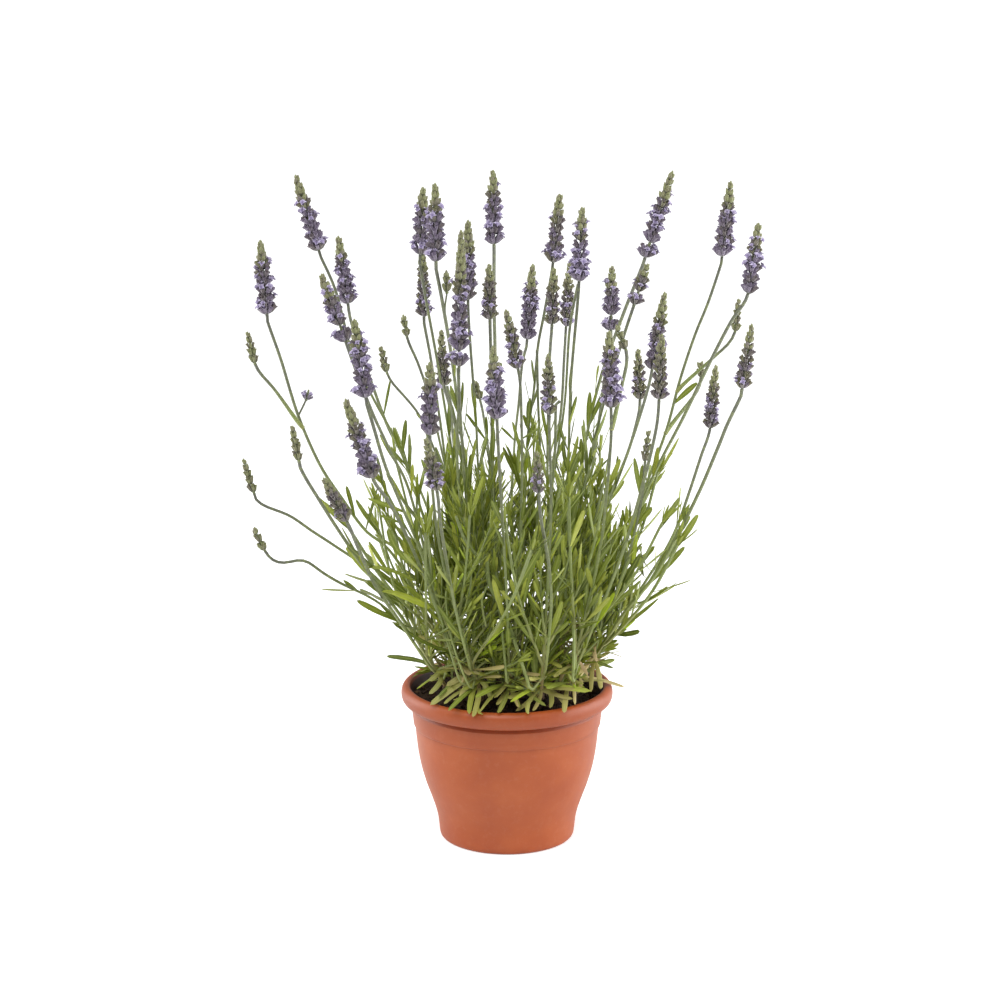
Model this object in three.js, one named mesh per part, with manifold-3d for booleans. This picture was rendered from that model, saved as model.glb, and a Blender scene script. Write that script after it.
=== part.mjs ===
// Potted lavender: a loose bush of leafy stems and long-stalked flower spikes in a round nursery pot.
// Millimetres, +Z up. The origin is the centre of the pot's flat base, and -Y is the front.
// Each green sprig is one body, grown face by face from its woody end: stems are square, as lavender's
// are, and every leaf and side stalk is drawn out of a face of its stem, in crossed pairs.

import * as THREE from 'three';
import { mergeVertices } from 'three/addons/utils/BufferGeometryUtils.js';
import Module from 'manifold-3d';

const wasm = await Module();
wasm.setup();

// Clearance between neighbouring pieces.
const GAP = 0.3;

// Pot: outer radius and height of each point that shapes the wall, from the foot up to the lip.
const POT_SIDES = 32;
const POT_HEIGHT = 142;
const POT_BASE_THICKNESS = 2.6;
const POT_WALL = [
  [57.5, 0], [60.5, 1.8], [64.1, 25], [69, 39.5], [75.4, 58.6],
  [79.9, 78], [82.1, 97], [84.2, 106], [86, 124.5],
];
const POT_RIM = [[92, 126.5], [95.2, 132], [95, 137], [92.4, 140.8], [89, POT_HEIGHT]];
const POT_INSIDE = [
  [87, 140.5], [83.6, 124.5], [77.5, 78], [66.6, 39.5], [58.9, 10], [57.4, POT_BASE_THICKNESS],
];
const DRAIN_HOLES = { count: 6, radius: 5, ring: 40 };

// Soil: the height of its surface and of the lumps in it.
const SOIL_TOP = 131;
const SOIL_LUMPS = 2.2;
const SOIL_RINGS = [20, 44, 66];

// Crown: the woody stock and the limbs that carry the sprigs.
const STOCK = { radius: 7, sides: 6, foot: SOIL_TOP - 32, top: SOIL_TOP + 9, hole: 7.4 };
const LIMB = { thick: 3.6, thin: 2.3, sides: 4, steps: 3 };

// Green stems, half widths of their square section.
const STEM = { base: 1.5, fork: 1.15, top: 0.85, step: 50 };
const SOCKET = 2.8;
// Lengths from the woody end at which a main stem forks.
const FORKS = { first: 16, apart: 11, reuse: 30, bare: 8 };
// The last stretch of a stalk runs straight into its head.
const NECK = 6;

// Leaves: a flat kite-shaped blade, widest a little above the middle.
const LEAF = { long: 45, wide: 5.2, thick: 0.8, widest: 0.52 };

// Flower heads: reach of the florets, core radius, faces round and whorls.
const LARGE = { reach: 8.6, core: 3.9, sides: 5, whorls: 6 };
const MEDIUM = { reach: 7.4, core: 3.4, sides: 5, whorls: 5 };
const SMALL = { reach: 5.6, core: 2.6, sides: 4, whorls: 4 };
// Green spikes that have not opened: reach of the buds and their whorls.
const BUD = { reach: 3.1, neck: 1.5, whorls: 4 };

// The front view from which places are read: a frame 1000 wide and high, with the pot's axis at 507.
const VIEW = {
  eye: new THREE.Vector3(-6.3, -2368, 870), aim: new THREE.Vector3(-6.3, 0, 311), focal: 2746, middle: 500,
};

// One row for each sprig: where its woody end stands, across and towards the back, and its height
// over the soil, how its leafy shoots lean, and its flower stalks. A stalk has the form of its head,
// the depth of its tip behind the pot's axis, and in the front view the tip and foot of the head and
// the points that the stalk passes on its way down. The first stalk is the sprig's main stem.
const SPRIGS = [
  { name: 'left_high', root: [-46, -12], over: 26, shoots: 2, stalks: [
    { form: LARGE, depth: -40, tip: [260, 239], foot: [267, 315],
      route: [[281, 360], [298, 415], [320, 465], [343, 500], [365, 530], [398, 562]] },
    { form: LARGE, depth: -100, tip: [321, 273], foot: [346, 342], parted: true,
      route: [[353, 362], [372, 412], [392, 455], [412, 500]] },
    { form: BUD, depth: -52, tip: [247, 331], foot: [255, 364], joins: 428, route: [[272, 386]] },
  ] },
  { name: 'left_back', root: [-36, 26], over: 30, shoots: 2, stalks: [
    { form: LARGE, depth: 70, tip: [295, 174], foot: [319, 251],
      route: [[336, 292], [353, 356], [373, 398], [398, 445], [418, 500]] },
    { form: LARGE, depth: 150, tip: [338, 235], foot: [348, 304],
      route: [[352, 325], [385, 420], [400, 450], [428, 510]] },
  ] },
  { name: 'left_low', root: [-58, 6], over: 22, shoots: 2, stalks: [
    { form: BUD, depth: 24, tip: [243, 458], foot: [254, 493],
      route: [[265, 506], [290, 516], [312, 531], [335, 546], [363, 566], [400, 604]] },
    { form: BUD, depth: -64, tip: [254, 528], foot: [265, 551],
      route: [[282, 564], [303, 559], [320, 571], [340, 583], [382, 605]] },
  ] },
  { name: 'left_front', root: [-36, -40], over: 26, shoots: 2, stalks: [
    { form: LARGE, depth: -120, tip: [354, 318], foot: [366, 398],
      route: [[373, 425], [385, 465], [400, 502], [424, 560]] },
    { form: LARGE, depth: -160, tip: [345, 398], foot: [373, 479],
      route: [[382, 492], [399, 520], [428, 585]] },
  ] },
  { name: 'left_wide', root: [-55, -38], over: 20, shoots: 2, stalks: [
    { form: BUD, depth: -130, tip: [292, 425], foot: [299, 461],
      route: [[308, 482], [318, 498], [337, 528], [363, 566], [405, 622]] },
    { form: MEDIUM, depth: -178, tip: [323, 477], foot: [347, 522],
      route: [[357, 545], [375, 585], [400, 622]] },
  ] },
  { name: 'middle_left', root: [-20, 14], over: 34, shoots: 1, stalks: [
    { form: LARGE, depth: 60, tip: [423, 186], foot: [420, 255],
      route: [[426, 300], [437, 360], [450, 440], [462, 520]] },
    { form: BUD, depth: 76, tip: [380, 346], foot: [387, 373], route: [[404, 396], [424, 424], [450, 500]] },
  ] },
  { name: 'back_left', root: [-22, 48], over: 30, shoots: 2, stalks: [
    { form: MEDIUM, depth: 140, tip: [422, 243], foot: [424, 317],
      route: [[431, 360], [440, 420], [452, 500]] },
    { form: BUD, depth: 130, tip: [403, 315], foot: [407, 337], route: [[416, 358], [430, 400], [446, 470]] },
    { form: MEDIUM, depth: 184, tip: [441, 329], foot: [444, 386], route: [[449, 402], [456, 460]] },
  ] },
  { name: 'middle_front_left', root: [-18, -16], over: 34, shoots: 1, stalks: [
    { form: LARGE, depth: -20, tip: [435, 182], foot: [436, 262],
      route: [[442, 300], [452, 360], [462, 440], [472, 520]] },
    { form: LARGE, depth: -72, tip: [461, 229], foot: [459, 367], parted: true,
      route: [[459, 390], [462, 440], [468, 520]] },
  ] },
  { name: 'front_left', root: [-24, -60], over: 22, shoots: 2, stalks: [
    { form: LARGE, depth: -132, tip: [430, 361], foot: [430, 436],
      route: [[431, 470], [437, 530], [450, 590]] },
    { form: MEDIUM, depth: -186, tip: [426, 437], foot: [437, 491],
      route: [[440, 520], [448, 570], [458, 620]] },
  ] },
  { name: 'middle', root: [12, -8], over: 34, shoots: 1, stalks: [
    { form: LARGE, depth: 0, tip: [493, 169], foot: [494, 245],
      route: [[494, 300], [495, 380], [490, 470], [487, 540], [492, 590]] },
    { form: LARGE, depth: 62, tip: [468, 219], foot: [468, 300],
      route: [[470, 340], [476, 420], [482, 500]] },
    { form: MEDIUM, depth: -56, tip: [489, 263], foot: [490, 320],
      route: [[491, 360], [492, 440], [494, 520]] },
    { form: BUD, depth: 120, tip: [474, 380], foot: [480, 400], route: [[484, 420], [490, 470]] },
  ] },
  { name: 'front', root: [2, -56], over: 24, shoots: 2, stalks: [
    { form: MEDIUM, depth: -120, tip: [506, 309], foot: [518, 369],
      route: [[521, 400], [522, 470], [520, 560], [516, 610]] },
    { form: LARGE, depth: -190, tip: [493, 345], foot: [497, 420],
      route: [[499, 460], [503, 530], [507, 600]] },
  ] },
  { name: 'back', root: [14, 44], over: 32, shoots: 2, stalks: [
    { form: LARGE, depth: 150, tip: [533, 263], foot: [527, 340],
      route: [[522, 365], [519, 400], [514, 450], [512, 520]] },
    { form: LARGE, depth: 84, tip: [560, 193], foot: [553, 263],
      route: [[543, 320], [538, 345], [534, 390], [526, 460]] },
    { form: MEDIUM, depth: 190, tip: [570, 260], foot: [566, 327],
      route: [[564, 360], [560, 420], [545, 500]] },
  ] },
  { name: 'middle_right', root: [40, -14], over: 30, shoots: 1, stalks: [
    { form: LARGE, depth: -60, tip: [582, 206], foot: [579, 282],
      route: [[577, 310], [571, 380], [569, 440], [568, 510], [566, 570], [566, 600]] },
    { form: MEDIUM, depth: 26, tip: [554, 267], foot: [552, 325],
      route: [[550, 350], [548, 420], [548, 500]] },
  ] },
  { name: 'front_right', root: [30, -62], over: 22, shoots: 2, stalks: [
    { form: MEDIUM, depth: -150, tip: [548, 353], foot: [549, 415],
      route: [[550, 450], [551, 510], [548, 580]] },
    { form: SMALL, depth: -192, tip: [537, 450], foot: [539, 494],
      route: [[541, 520], [546, 546], [550, 575], [551, 610]] },
  ] },
  { name: 'back_right', root: [40, 46], over: 30, shoots: 2, stalks: [
    { form: LARGE, depth: 130, tip: [612, 265], foot: [611, 331], parted: true,
      route: [[607, 360], [599, 420], [588, 490]] },
    { form: LARGE, depth: 120, tip: [665, 291], foot: [652, 370],
      route: [[646, 396], [632, 440], [610, 500]] },
    { form: MEDIUM, depth: 186, tip: [638, 348], foot: [640, 400],
      route: [[636, 425], [627, 455], [608, 500]] },
  ] },
  { name: 'right_front', root: [54, -48], over: 22, shoots: 2, stalks: [
    { form: LARGE, depth: -130, tip: [609, 330], foot: [611, 408],
      route: [[611, 440], [607, 490], [598, 560]] },
    { form: MEDIUM, depth: -160, tip: [662, 333], foot: [659, 400],
      route: [[656, 430], [644, 480], [620, 560]] },
    { form: BUD, depth: -118, tip: [616, 325], foot: [626, 350], joins: 430, route: [[624, 376]] },
  ] },
  { name: 'right', root: [48, 10], over: 28, shoots: 1, stalks: [
    { form: LARGE, depth: 30, tip: [673, 170], foot: [645, 258], parted: true,
      route: [[636, 282], [621, 320], [603, 370], [590, 420], [580, 480]] },
    { form: MEDIUM, depth: -60, tip: [648, 263], foot: [634, 305], parted: true,
      route: [[624, 335], [606, 395], [592, 450], [580, 510]] },
  ] },
  { name: 'right_wide', root: [58, 24], over: 24, shoots: 2, stalks: [
    { form: LARGE, depth: 64, tip: [731, 180], foot: [722, 257],
      route: [[708, 303], [695, 335], [680, 380], [668, 425], [655, 462], [640, 500], [618, 556]] },
    { form: LARGE, depth: -20, tip: [759, 222], foot: [748, 294],
      route: [[733, 318], [710, 362], [683, 418], [660, 462], [640, 505]] },
    { form: BUD, depth: 40, tip: [739, 298], foot: [735, 332], joins: 392, route: [[722, 350]] },
    { form: BUD, depth: 76, tip: [700, 362], foot: [701, 378], joins: 434, route: [[694, 396]] },
  ] },
  { name: 'right_low', root: [66, -18], over: 22, shoots: 2, stalks: [
    { form: MEDIUM, depth: -104, tip: [752, 323], foot: [742, 389],
      route: [[727, 425], [719, 445], [700, 490], [680, 530], [655, 575], [625, 612]] },
    { form: MEDIUM, depth: 40, tip: [716, 364], foot: [710, 429],
      route: [[703, 450], [690, 490], [672, 538], [640, 590]] },
    { form: BUD, depth: -60, tip: [649, 430], foot: [645, 462], route: [[643, 490], [630, 550]] },
  ] },
];

// Repeatable draws between 0 and 1, the same in every run.
let seed = 20271;

function draw() {
  seed = (Math.imul(seed, 1664525) + 1013904223) >>> 0;
  return seed / 4294967296;
}

function between(low, high) {
  return low + (high - low) * draw();
}

function vector(x, y, z) {
  return new THREE.Vector3(x, y, z);
}

function blend(a, b, share) {
  return a.clone().lerp(b, share);
}

// The point at a given depth that the front view shows at a place in its frame.
function seen([across, down], depth) {
  const ahead = VIEW.aim.clone().sub(VIEW.eye).normalize();
  const right = vector(1, 0, 0);
  const up = right.clone().cross(ahead);
  const ray = ahead.clone().multiplyScalar(VIEW.focal);
  ray.addScaledVector(right, across - VIEW.middle);
  ray.addScaledVector(up, VIEW.middle - down);
  return VIEW.eye.clone().addScaledVector(ray, (depth - VIEW.eye.y) / ray.y);
}

// A smooth curve through its points, measured by length.
function smooth(points) {
  const curve = new THREE.CatmullRomCurve3(points, false, 'catmullrom', 0.5);
  curve.arcLengthDivisions = 200;
  return curve;
}

// A body under construction: its points and its triangles, turned outwards.
class Body {
  points = [];
  triangles = [];

  add(point) {
    this.points.push(point);
    return this.points.length - 1;
  }

  quad(a, b, c, d) {
    this.triangles.push(a, b, c, a, c, d);
  }

  // Triangles from a ring of points to one point ahead of it.
  fan(ring, tip) {
    ring.forEach((corner, k) => this.triangles.push(corner, ring[(k + 1) % ring.length], tip));
  }

  geometry() {
    const geometry = new THREE.BufferGeometry();
    const numbers = this.points.flatMap((point) => point.toArray());
    geometry.setAttribute('position', new THREE.Float32BufferAttribute(numbers, 3));
    geometry.setIndex(this.triangles);
    return geometry;
  }
}

// A solid for cutting and joining, and its way back to a geometry.
function solid(geometry) {
  const bare = geometry.clone();
  bare.deleteAttribute('normal');
  bare.deleteAttribute('uv');
  const merged = mergeVertices(bare, 1e-4);
  const vertProperties = new Float32Array(merged.attributes.position.array);
  const triVerts = new Uint32Array(merged.index.array);
  return new wasm.Manifold(new wasm.Mesh({ numProp: 3, vertProperties, triVerts }));
}

function geometryOf(manifold) {
  const { vertProperties, triVerts } = manifold.getMesh();
  const geometry = new THREE.BufferGeometry();
  geometry.setAttribute('position', new THREE.Float32BufferAttribute(vertProperties, 3));
  geometry.setIndex(new THREE.Uint32BufferAttribute(triVerts, 1));
  return geometry;
}

// Space already taken, as thick lines, so that what grows later keeps clear of it.
const taken = [];

function lineDistance(a, b, c, d) {
  const u = b.clone().sub(a);
  const v = d.clone().sub(c);
  const w = a.clone().sub(c);
  const uu = u.dot(u);
  const vv = v.dot(v);
  const uv = u.dot(v);
  const spread = uu * vv - uv * uv;
  let s = spread > 1e-9 ? (uv * v.dot(w) - vv * u.dot(w)) / spread : 0;
  s = THREE.MathUtils.clamp(s, 0, 1);
  const t = THREE.MathUtils.clamp((uv * s + v.dot(w)) / vv, 0, 1);
  s = THREE.MathUtils.clamp((uv * t - u.dot(w)) / uu, 0, 1);
  return w.addScaledVector(u, s).addScaledVector(v, -t).length();
}

// True where a thick line touches nothing taken, apart from what its own stem takes.
function isFree(from, to, radius, own) {
  return taken.every((other) => other.owner === own
    || lineDistance(from, to, other.from, other.to) > radius + other.radius);
}

function take(from, to, radius, owner) {
  taken.push({ from, to, radius, owner });
}

function takeCurve(curve, radius, owner) {
  const pieces = Math.ceil(curve.getLength() / 16);
  const points = curve.getSpacedPoints(pieces);
  points.slice(1).forEach((point, k) => take(points[k], point, radius, owner));
}

// Corners of a square or flat section at a place on a limb, counterclockwise about its direction.
function section(body, { at, across, over, halfAcross, halfOver }) {
  const corner = (i, j) => at.clone()
    .addScaledVector(across, i * halfAcross)
    .addScaledVector(over, j * halfOver);
  return [corner(-1, -1), corner(1, -1), corner(1, 1), corner(-1, 1)].map((point) => body.add(point));
}

// Carries a section along a curve without twist, at the given lengths from its start.
function stations(curve, lengths, across, halfWidth) {
  const whole = curve.getLength();
  let side = across.clone();
  return lengths.map((length) => {
    const share = THREE.MathUtils.clamp(length / whole, 0, 1);
    const along = curve.getTangentAt(share);
    side = side.clone().addScaledVector(along, -side.dot(along)).normalize();
    const over = along.clone().cross(side);
    const half = halfWidth(share);
    return { at: curve.getPointAt(share), along, across: side, over, halfAcross: half, halfOver: half };
  });
}

// One blade out of a four-cornered patch of its stem: it bends once at its widest place.
function growLeaf(body, patch, start, reach, leaf) {
  const along = reach.clone().normalize();
  const across = body.points[patch[1]].clone().sub(body.points[patch[0]]).normalize();
  const side = across.addScaledVector(along, -across.dot(along)).normalize();
  const over = along.clone().cross(side);
  const middle = start.clone().addScaledVector(along, leaf.long * LEAF.widest);
  const tip = start.clone().addScaledVector(along, leaf.long).addScaledVector(leaf.bend, leaf.long * 0.14);
  const widest = section(body, {
    at: middle, across: side, over, halfAcross: leaf.wide / 2, halfOver: LEAF.thick / 2,
  });
  for (let k = 0; k < 4; k += 1) {
    body.quad(patch[k], patch[(k + 1) % 4], widest[(k + 1) % 4], widest[k]);
  }
  body.fan(widest, body.add(tip));
}

// Ways to bend a leaf clear: degrees away from the stem, share of its length and a sideways sweep.
const LEAF_TRIALS = [0, 0.3, -0.3, 0.6, -0.6].flatMap((sweep) => [
  [0, 1, sweep], [-8, 1, sweep], [10, 1, sweep], [-4, 0.75, sweep], [20, 0.75, sweep],
]);

// Tries a leaf as drawn, then bent aside or shorter, and leaves it out where every place is taken.
function tryLeaf(body, patch, station, outward, leaf, owner) {
  const start = patch.reduce((sum, k) => sum.add(body.points[k]), vector(0, 0, 0)).multiplyScalar(0.25);
  const aside = station.along.clone().cross(outward);
  for (const [turn, share, sweep] of LEAF_TRIALS) {
    const lean = THREE.MathUtils.degToRad(leaf.lean + turn);
    const reach = station.along.clone().multiplyScalar(Math.cos(lean));
    reach.addScaledVector(outward, Math.sin(lean)).addScaledVector(aside, sweep * Math.sin(lean)).normalize();
    const long = leaf.long * share;
    const bend = vector(0, 0, leaf.droop ? -1 : 0.2);
    const from = start.clone().addScaledVector(reach, long * 0.08);
    const middle = start.clone().addScaledVector(reach, long * LEAF.widest);
    const to = start.clone().addScaledVector(reach, long).addScaledVector(bend, long * 0.14);
    const half = leaf.wide / 2;
    const overPot = to.z > SOIL_TOP + 7 && (to.z > POT_HEIGHT + 4 || Math.hypot(to.x, to.y) < 78);
    if (overPot && isFree(from, middle, half + GAP, owner) && isFree(middle, to, half * 0.8 + GAP, owner)) {
      growLeaf(body, patch, start, reach, { long, wide: leaf.wide, bend });
      take(from, middle, half, `${owner}_leaf_${taken.length}`);
      take(middle, to, half * 0.8, `${owner}_leaf_${taken.length - 1}`);
      return;
    }
  }
  body.quad(...patch);
}

// A stem along a curve, from a patch or from a flat end. Pairs of leaves stand at the given lengths,
// and each fork opens the face that looks towards it. Returns the patches of the forks.
function growStem(body, curve, plan) {
  const { start, across, halfWidth, pairs, forks, owner, ending } = plan;
  const whole = curve.getLength();
  const openings = [
    ...pairs.map((pair) => ({ ...pair, kind: 'pair' })),
    ...forks.map((fork) => ({ ...fork, kind: 'fork' })),
  ].sort((a, b) => a.length - b.length);
  const lengths = [plan.from];
  const opened = new Map();
  const stretch = (to) => {
    const from = lengths.at(-1);
    const steps = Math.max(1, Math.round((to - from) / STEM.step));
    for (let k = 1; k <= steps; k += 1) {
      lengths.push(from + (to - from) * k / steps);
    }
  };
  openings.forEach((opening) => {
    stretch(opening.length - SOCKET / 2);
    lengths.push(opening.length + SOCKET / 2);
    opened.set(lengths.length - 1, opening);
  });
  stretch(whole);
  const places = stations(curve, lengths, across, halfWidth);
  const rings = places.map((place) => section(body, place));
  if (start) {
    for (let k = 0; k < 4; k += 1) {
      body.quad(start[k], start[(k + 1) % 4], rings[0][(k + 1) % 4], rings[0][k]);
    }
  } else {
    body.quad(...rings[0].toReversed());
  }
  let quarter = 0;
  for (let i = 1; i < rings.length; i += 1) {
    const patches = [0, 1, 2, 3].map((k) => [
      rings[i - 1][k], rings[i - 1][(k + 1) % 4], rings[i][(k + 1) % 4], rings[i][k],
    ]);
    const { over, across: side } = places[i];
    const outwards = [over.clone().negate(), side.clone(), over.clone(), side.clone().negate()];
    const opening = opened.get(i);
    if (opening && opening.kind === 'pair') {
      quarter += 1;
      patches.forEach((patch, k) => {
        if (k % 2 === quarter % 2) {
          tryLeaf(body, patch, places[i], outwards[k], opening.leaves[k > 1 ? 1 : 0], owner);
        } else {
          body.quad(...patch);
        }
      });
    } else if (opening) {
      const facing = outwards.map((out) => out.dot(opening.heading));
      const best = facing.indexOf(Math.max(...facing));
      patches.forEach((patch, k) => (k === best ? opening.grow(patch) : body.quad(...patch)));
    } else {
      patches.forEach((patch) => body.quad(...patch));
    }
  }
  if (ending) {
    ending(body, rings.at(-1), places.at(-1));
  } else {
    body.quad(...rings.at(-1));
  }
}

// Ending of a leafy shoot: the stem closes in a point.
function pointedEnd(body, ring, place) {
  body.fan(ring, body.add(place.at.clone().addScaledVector(place.along, 5)));
}

// Ending of a green spike: whorls of buds, each widening upwards and stepping in again.
function budEnd(tip) {
  return (body, ring, place) => {
    const along = tip.clone().sub(place.at);
    const step = along.length() / (BUD.whorls + 1);
    along.normalize();
    let last = ring;
    const ringAt = (height, half) => {
      const next = section(body, {
        at: place.at.clone().addScaledVector(along, height), across: place.across, over: place.over,
        halfAcross: half, halfOver: half,
      });
      for (let k = 0; k < 4; k += 1) {
        body.quad(last[k], last[(k + 1) % 4], next[(k + 1) % 4], next[k]);
      }
      last = next;
    };
    for (let k = 0; k < BUD.whorls; k += 1) {
      const slim = 1 - 0.35 * k / BUD.whorls;
      ringAt(step * (k + 0.85), BUD.reach * slim);
      ringAt(step * (k + 1), BUD.neck * slim);
    }
    body.fan(last, body.add(tip));
  };
}

// A flower head: a core of rings, each turned half a step on the one below, with a floret raised from
// every face of it as a pyramid that points up and out. A parted head has its lowest whorl by itself.
function flowerHead(foot, tip, form, parted) {
  const { reach, core, sides, whorls } = form;
  const body = new Body();
  const axis = tip.clone().sub(foot);
  const long = axis.length() - GAP;
  axis.normalize();
  const base = foot.clone().addScaledVector(axis, GAP);
  const side = vector(0, 1, 0).cross(axis).normalize();
  const over = axis.clone().cross(side);
  const at = (angle, radius, height) => base.clone()
    .addScaledVector(side, radius * Math.cos(angle))
    .addScaledVector(over, radius * Math.sin(angle))
    .addScaledVector(axis, height);
  const levels = [{ height: 0, radius: core * 0.7 }];
  const first = parted ? 0.3 : 0;
  if (parted) {
    levels.push({ height: long * 0.12, radius: core * 0.8 });
    levels.push({ height: long * 0.15, radius: 1.1, plain: true });
    levels.push({ height: long * first, radius: core * 0.7, plain: true });
  }
  for (let k = 1; k <= whorls; k += 1) {
    const share = k / (whorls + 0.6);
    const taper = 1 - 0.55 * share ** 2.4;
    levels.push({ height: long * (first + (1 - first) * share), radius: core * taper });
  }
  const turn = Math.PI / sides;
  const rings = levels.map(({ height, radius }, j) => Array.from(
    { length: sides },
    (_, k) => body.add(at((2 * k + j) * turn, radius, height)),
  ));
  body.fan(rings[0].toReversed(), body.add(at(0, 0, 0)));
  for (let j = 1; j < levels.length; j += 1) {
    const low = levels[j - 1];
    const high = levels[j];
    const tall = high.height - low.height;
    for (let k = 0; k < sides; k += 1) {
      const next = (k + 1) % sides;
      const corners = [rings[j - 1][k], rings[j - 1][next], rings[j][next], rings[j][k]];
      if (high.plain) {
        body.quad(...corners);
      } else {
        const out = reach * (high.radius / core) * (0.86 + 0.14 * Math.sin(5 * j + 3 * k));
        const middle = (2 * k + j + 0.5) * turn;
        body.fan(corners, body.add(at(middle, out, low.height + tall * 1.12)));
      }
    }
  }
  body.fan(rings.at(-1), body.add(at(0, 0, long)));
  return body.geometry();
}

// A leaf's own draws: how long, how wide and how far it leans from the stem.
function drawLeaf(scale, lean, droop) {
  return {
    long: LEAF.long * scale * between(0.78, 1.18),
    wide: LEAF.wide * between(0.82, 1.12),
    lean: lean + between(-7, 9),
    droop,
  };
}

// Pairs of leaves up a stem from one length to another, smaller towards the top.
function drawPairs(from, to, count, lean) {
  return Array.from({ length: count }, (_, k) => {
    const share = count > 1 ? k / (count - 1) : 0;
    const droop = k === 0 && lean > 30;
    const spread = droop ? lean + 32 : lean * (1 - 0.3 * share);
    const scale = 1 - 0.22 * share;
    return {
      length: from + (to - from) * share + between(-2, 2),
      leaves: [drawLeaf(scale, spread, droop), drawLeaf(scale, spread, droop)],
    };
  });
}

const MAIN_ACROSS = vector(0.6, 0.8, 0);
const SLENDER = (share) => STEM.base + (STEM.top - STEM.base) * Math.min(1, share * 1.6);
const SIDE_SLENDER = (share) => STEM.fork + (STEM.top - STEM.fork) * Math.min(1, share * 2);

function rootOf(sprig) {
  return vector(sprig.root[0], sprig.root[1], SOIL_TOP + sprig.over);
}

// The points of a stalk from its head's foot down to a lower end, with the depth eased between them.
function stalkPoints(stalk, lower, lowerDown) {
  const depthAt = (down) => {
    const share = THREE.MathUtils.clamp((lowerDown - down) / (lowerDown - stalk.foot[1]), 0, 1);
    return lower.y + (stalk.depth - lower.y) * share ** 0.9;
  };
  const above = stalk.route.filter(([, down]) => down < lowerDown - 12).toReversed();
  const foot = seen(stalk.foot, stalk.depth);
  const ahead = seen(stalk.tip, stalk.depth).sub(foot).normalize();
  const neck = foot.clone().addScaledVector(ahead, -NECK);
  return [...above.map((place) => seen(place, depthAt(place[1]))), neck, foot];
}

// How far down the front view shows a point.
function downOf(point) {
  const ahead = VIEW.aim.clone().sub(VIEW.eye).normalize();
  const up = vector(1, 0, 0).cross(ahead);
  const ray = point.clone().sub(VIEW.eye);
  return VIEW.middle - VIEW.focal * ray.dot(up) / ray.dot(ahead);
}

// The main stem of a sprig rises from its woody end and leans over into its own stalk.
function mainCurve(sprig) {
  const root = rootOf(sprig);
  const down = downOf(root);
  return smooth([root, ...stalkPoints(sprig.stalks[0], root, down)]);
}

// Where on a curve the front view shows a given height.
function lengthAtDown(curve, down) {
  let low = 0;
  let high = 1;
  for (let k = 0; k < 30; k += 1) {
    const middle = (low + high) / 2;
    if (downOf(curve.getPointAt(middle)) > down) {
      low = middle;
    } else {
      high = middle;
    }
  }
  return low * curve.getLength();
}

// The way that the four faces of a stem look at a length along it.
function facesAt(curve, length) {
  const lengths = [0, length / 3, length * 2 / 3, length];
  const { across, over } = stations(curve, lengths, MAIN_ACROSS, () => 1).at(-1);
  return [over.clone().negate(), across, over, across.clone().negate()];
}

// The face for a new fork: the one that looks most nearly towards where the fork goes, and that has
// no other fork close above or below.
function chooseFace(curve, length, wish, forks) {
  const near = forks.filter((fork) => Math.abs(fork.length - length) < FORKS.reuse);
  const open = facesAt(curve, length).filter((face) => near.every((fork) => fork.heading.dot(face) < 0.7));
  return open.sort((a, b) => b.dot(wish) - a.dot(wish))[0];
}

// The point where a fork has come clear of its stem.
function leavePoint(from, along, heading) {
  return from.clone().addScaledVector(heading, 3.4).addScaledVector(along, 7);
}

// The side stalks of a sprig, each with the place where it leaves the main stem.
function sideStalks(sprig, main) {
  const forks = [];
  sprig.stalks.slice(1).forEach((stalk, k) => {
    const length = stalk.joins ? lengthAtDown(main, stalk.joins) : FORKS.first + FORKS.apart * k;
    const share = length / main.getLength();
    const from = main.getPointAt(share);
    const points = stalkPoints(stalk, from, downOf(from));
    const heading = chooseFace(main, length, points[0].clone().sub(from), forks);
    const leave = leavePoint(from, main.getTangentAt(share), heading);
    forks.push({ stalk, length, heading, from, curve: smooth([leave, ...points]) });
  });
  return forks;
}

// A leafy shoot without flowers: it leans out and then rises.
function shootCurve(leave, turn, lean, long) {
  const out = vector(Math.cos(turn), Math.sin(turn), 0);
  const end = leave.clone().addScaledVector(out, long * Math.sin(lean));
  end.z += long * Math.cos(lean);
  const middle = blend(leave, end, 0.5).addScaledVector(out, long * 0.06);
  return smooth([leave, middle, end]);
}

// True where a shoot touches nothing: close to its own main stem only its upper part is tested.
function isShootFree(curve, radius, own) {
  const points = curve.getSpacedPoints(9);
  return points.slice(1).every((point, k) => isFree(points[k], point, radius, k < 1 ? own : ''));
}

// The leafy shoots of a sprig, turned about until they stand clear of every other stem.
function drawShoots(sprig, main, sides) {
  const root = rootOf(sprig);
  const away = Math.atan2(root.y, root.x);
  const forks = [...sides];
  for (let k = 0; k < sprig.shoots; k += 1) {
    const length = FORKS.first + FORKS.apart * (sides.length + k);
    const share = length / main.getLength();
    const from = main.getPointAt(share);
    const long = between(95, 165);
    for (let trial = 0; trial < 12; trial += 1) {
      const turn = away + (k - (sprig.shoots - 1) / 2) * 1.6 + between(-0.5, 0.5) + trial * 0.3;
      const lean = THREE.MathUtils.degToRad(between(12, 40));
      const out = vector(Math.cos(turn), Math.sin(turn), 0);
      const heading = chooseFace(main, length, out, forks);
      const leave = leavePoint(from, main.getTangentAt(share), heading);
      const curve = shootCurve(leave, turn, lean, long);
      const facesOut = heading.dot(out) > 0.25;
      if (facesOut && isFree(from, leave, 2, sprig.name) && isShootFree(curve, 2.6, sprig.name)) {
        forks.push({ length, heading, curve, long });
        takeCurve(curve, 1.6, `${sprig.name}_shoot_${k}`);
        take(from, leave, 1.6, `${sprig.name}_shoot_${k}`);
        break;
      }
    }
  }
  return forks.slice(sides.length);
}

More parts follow.
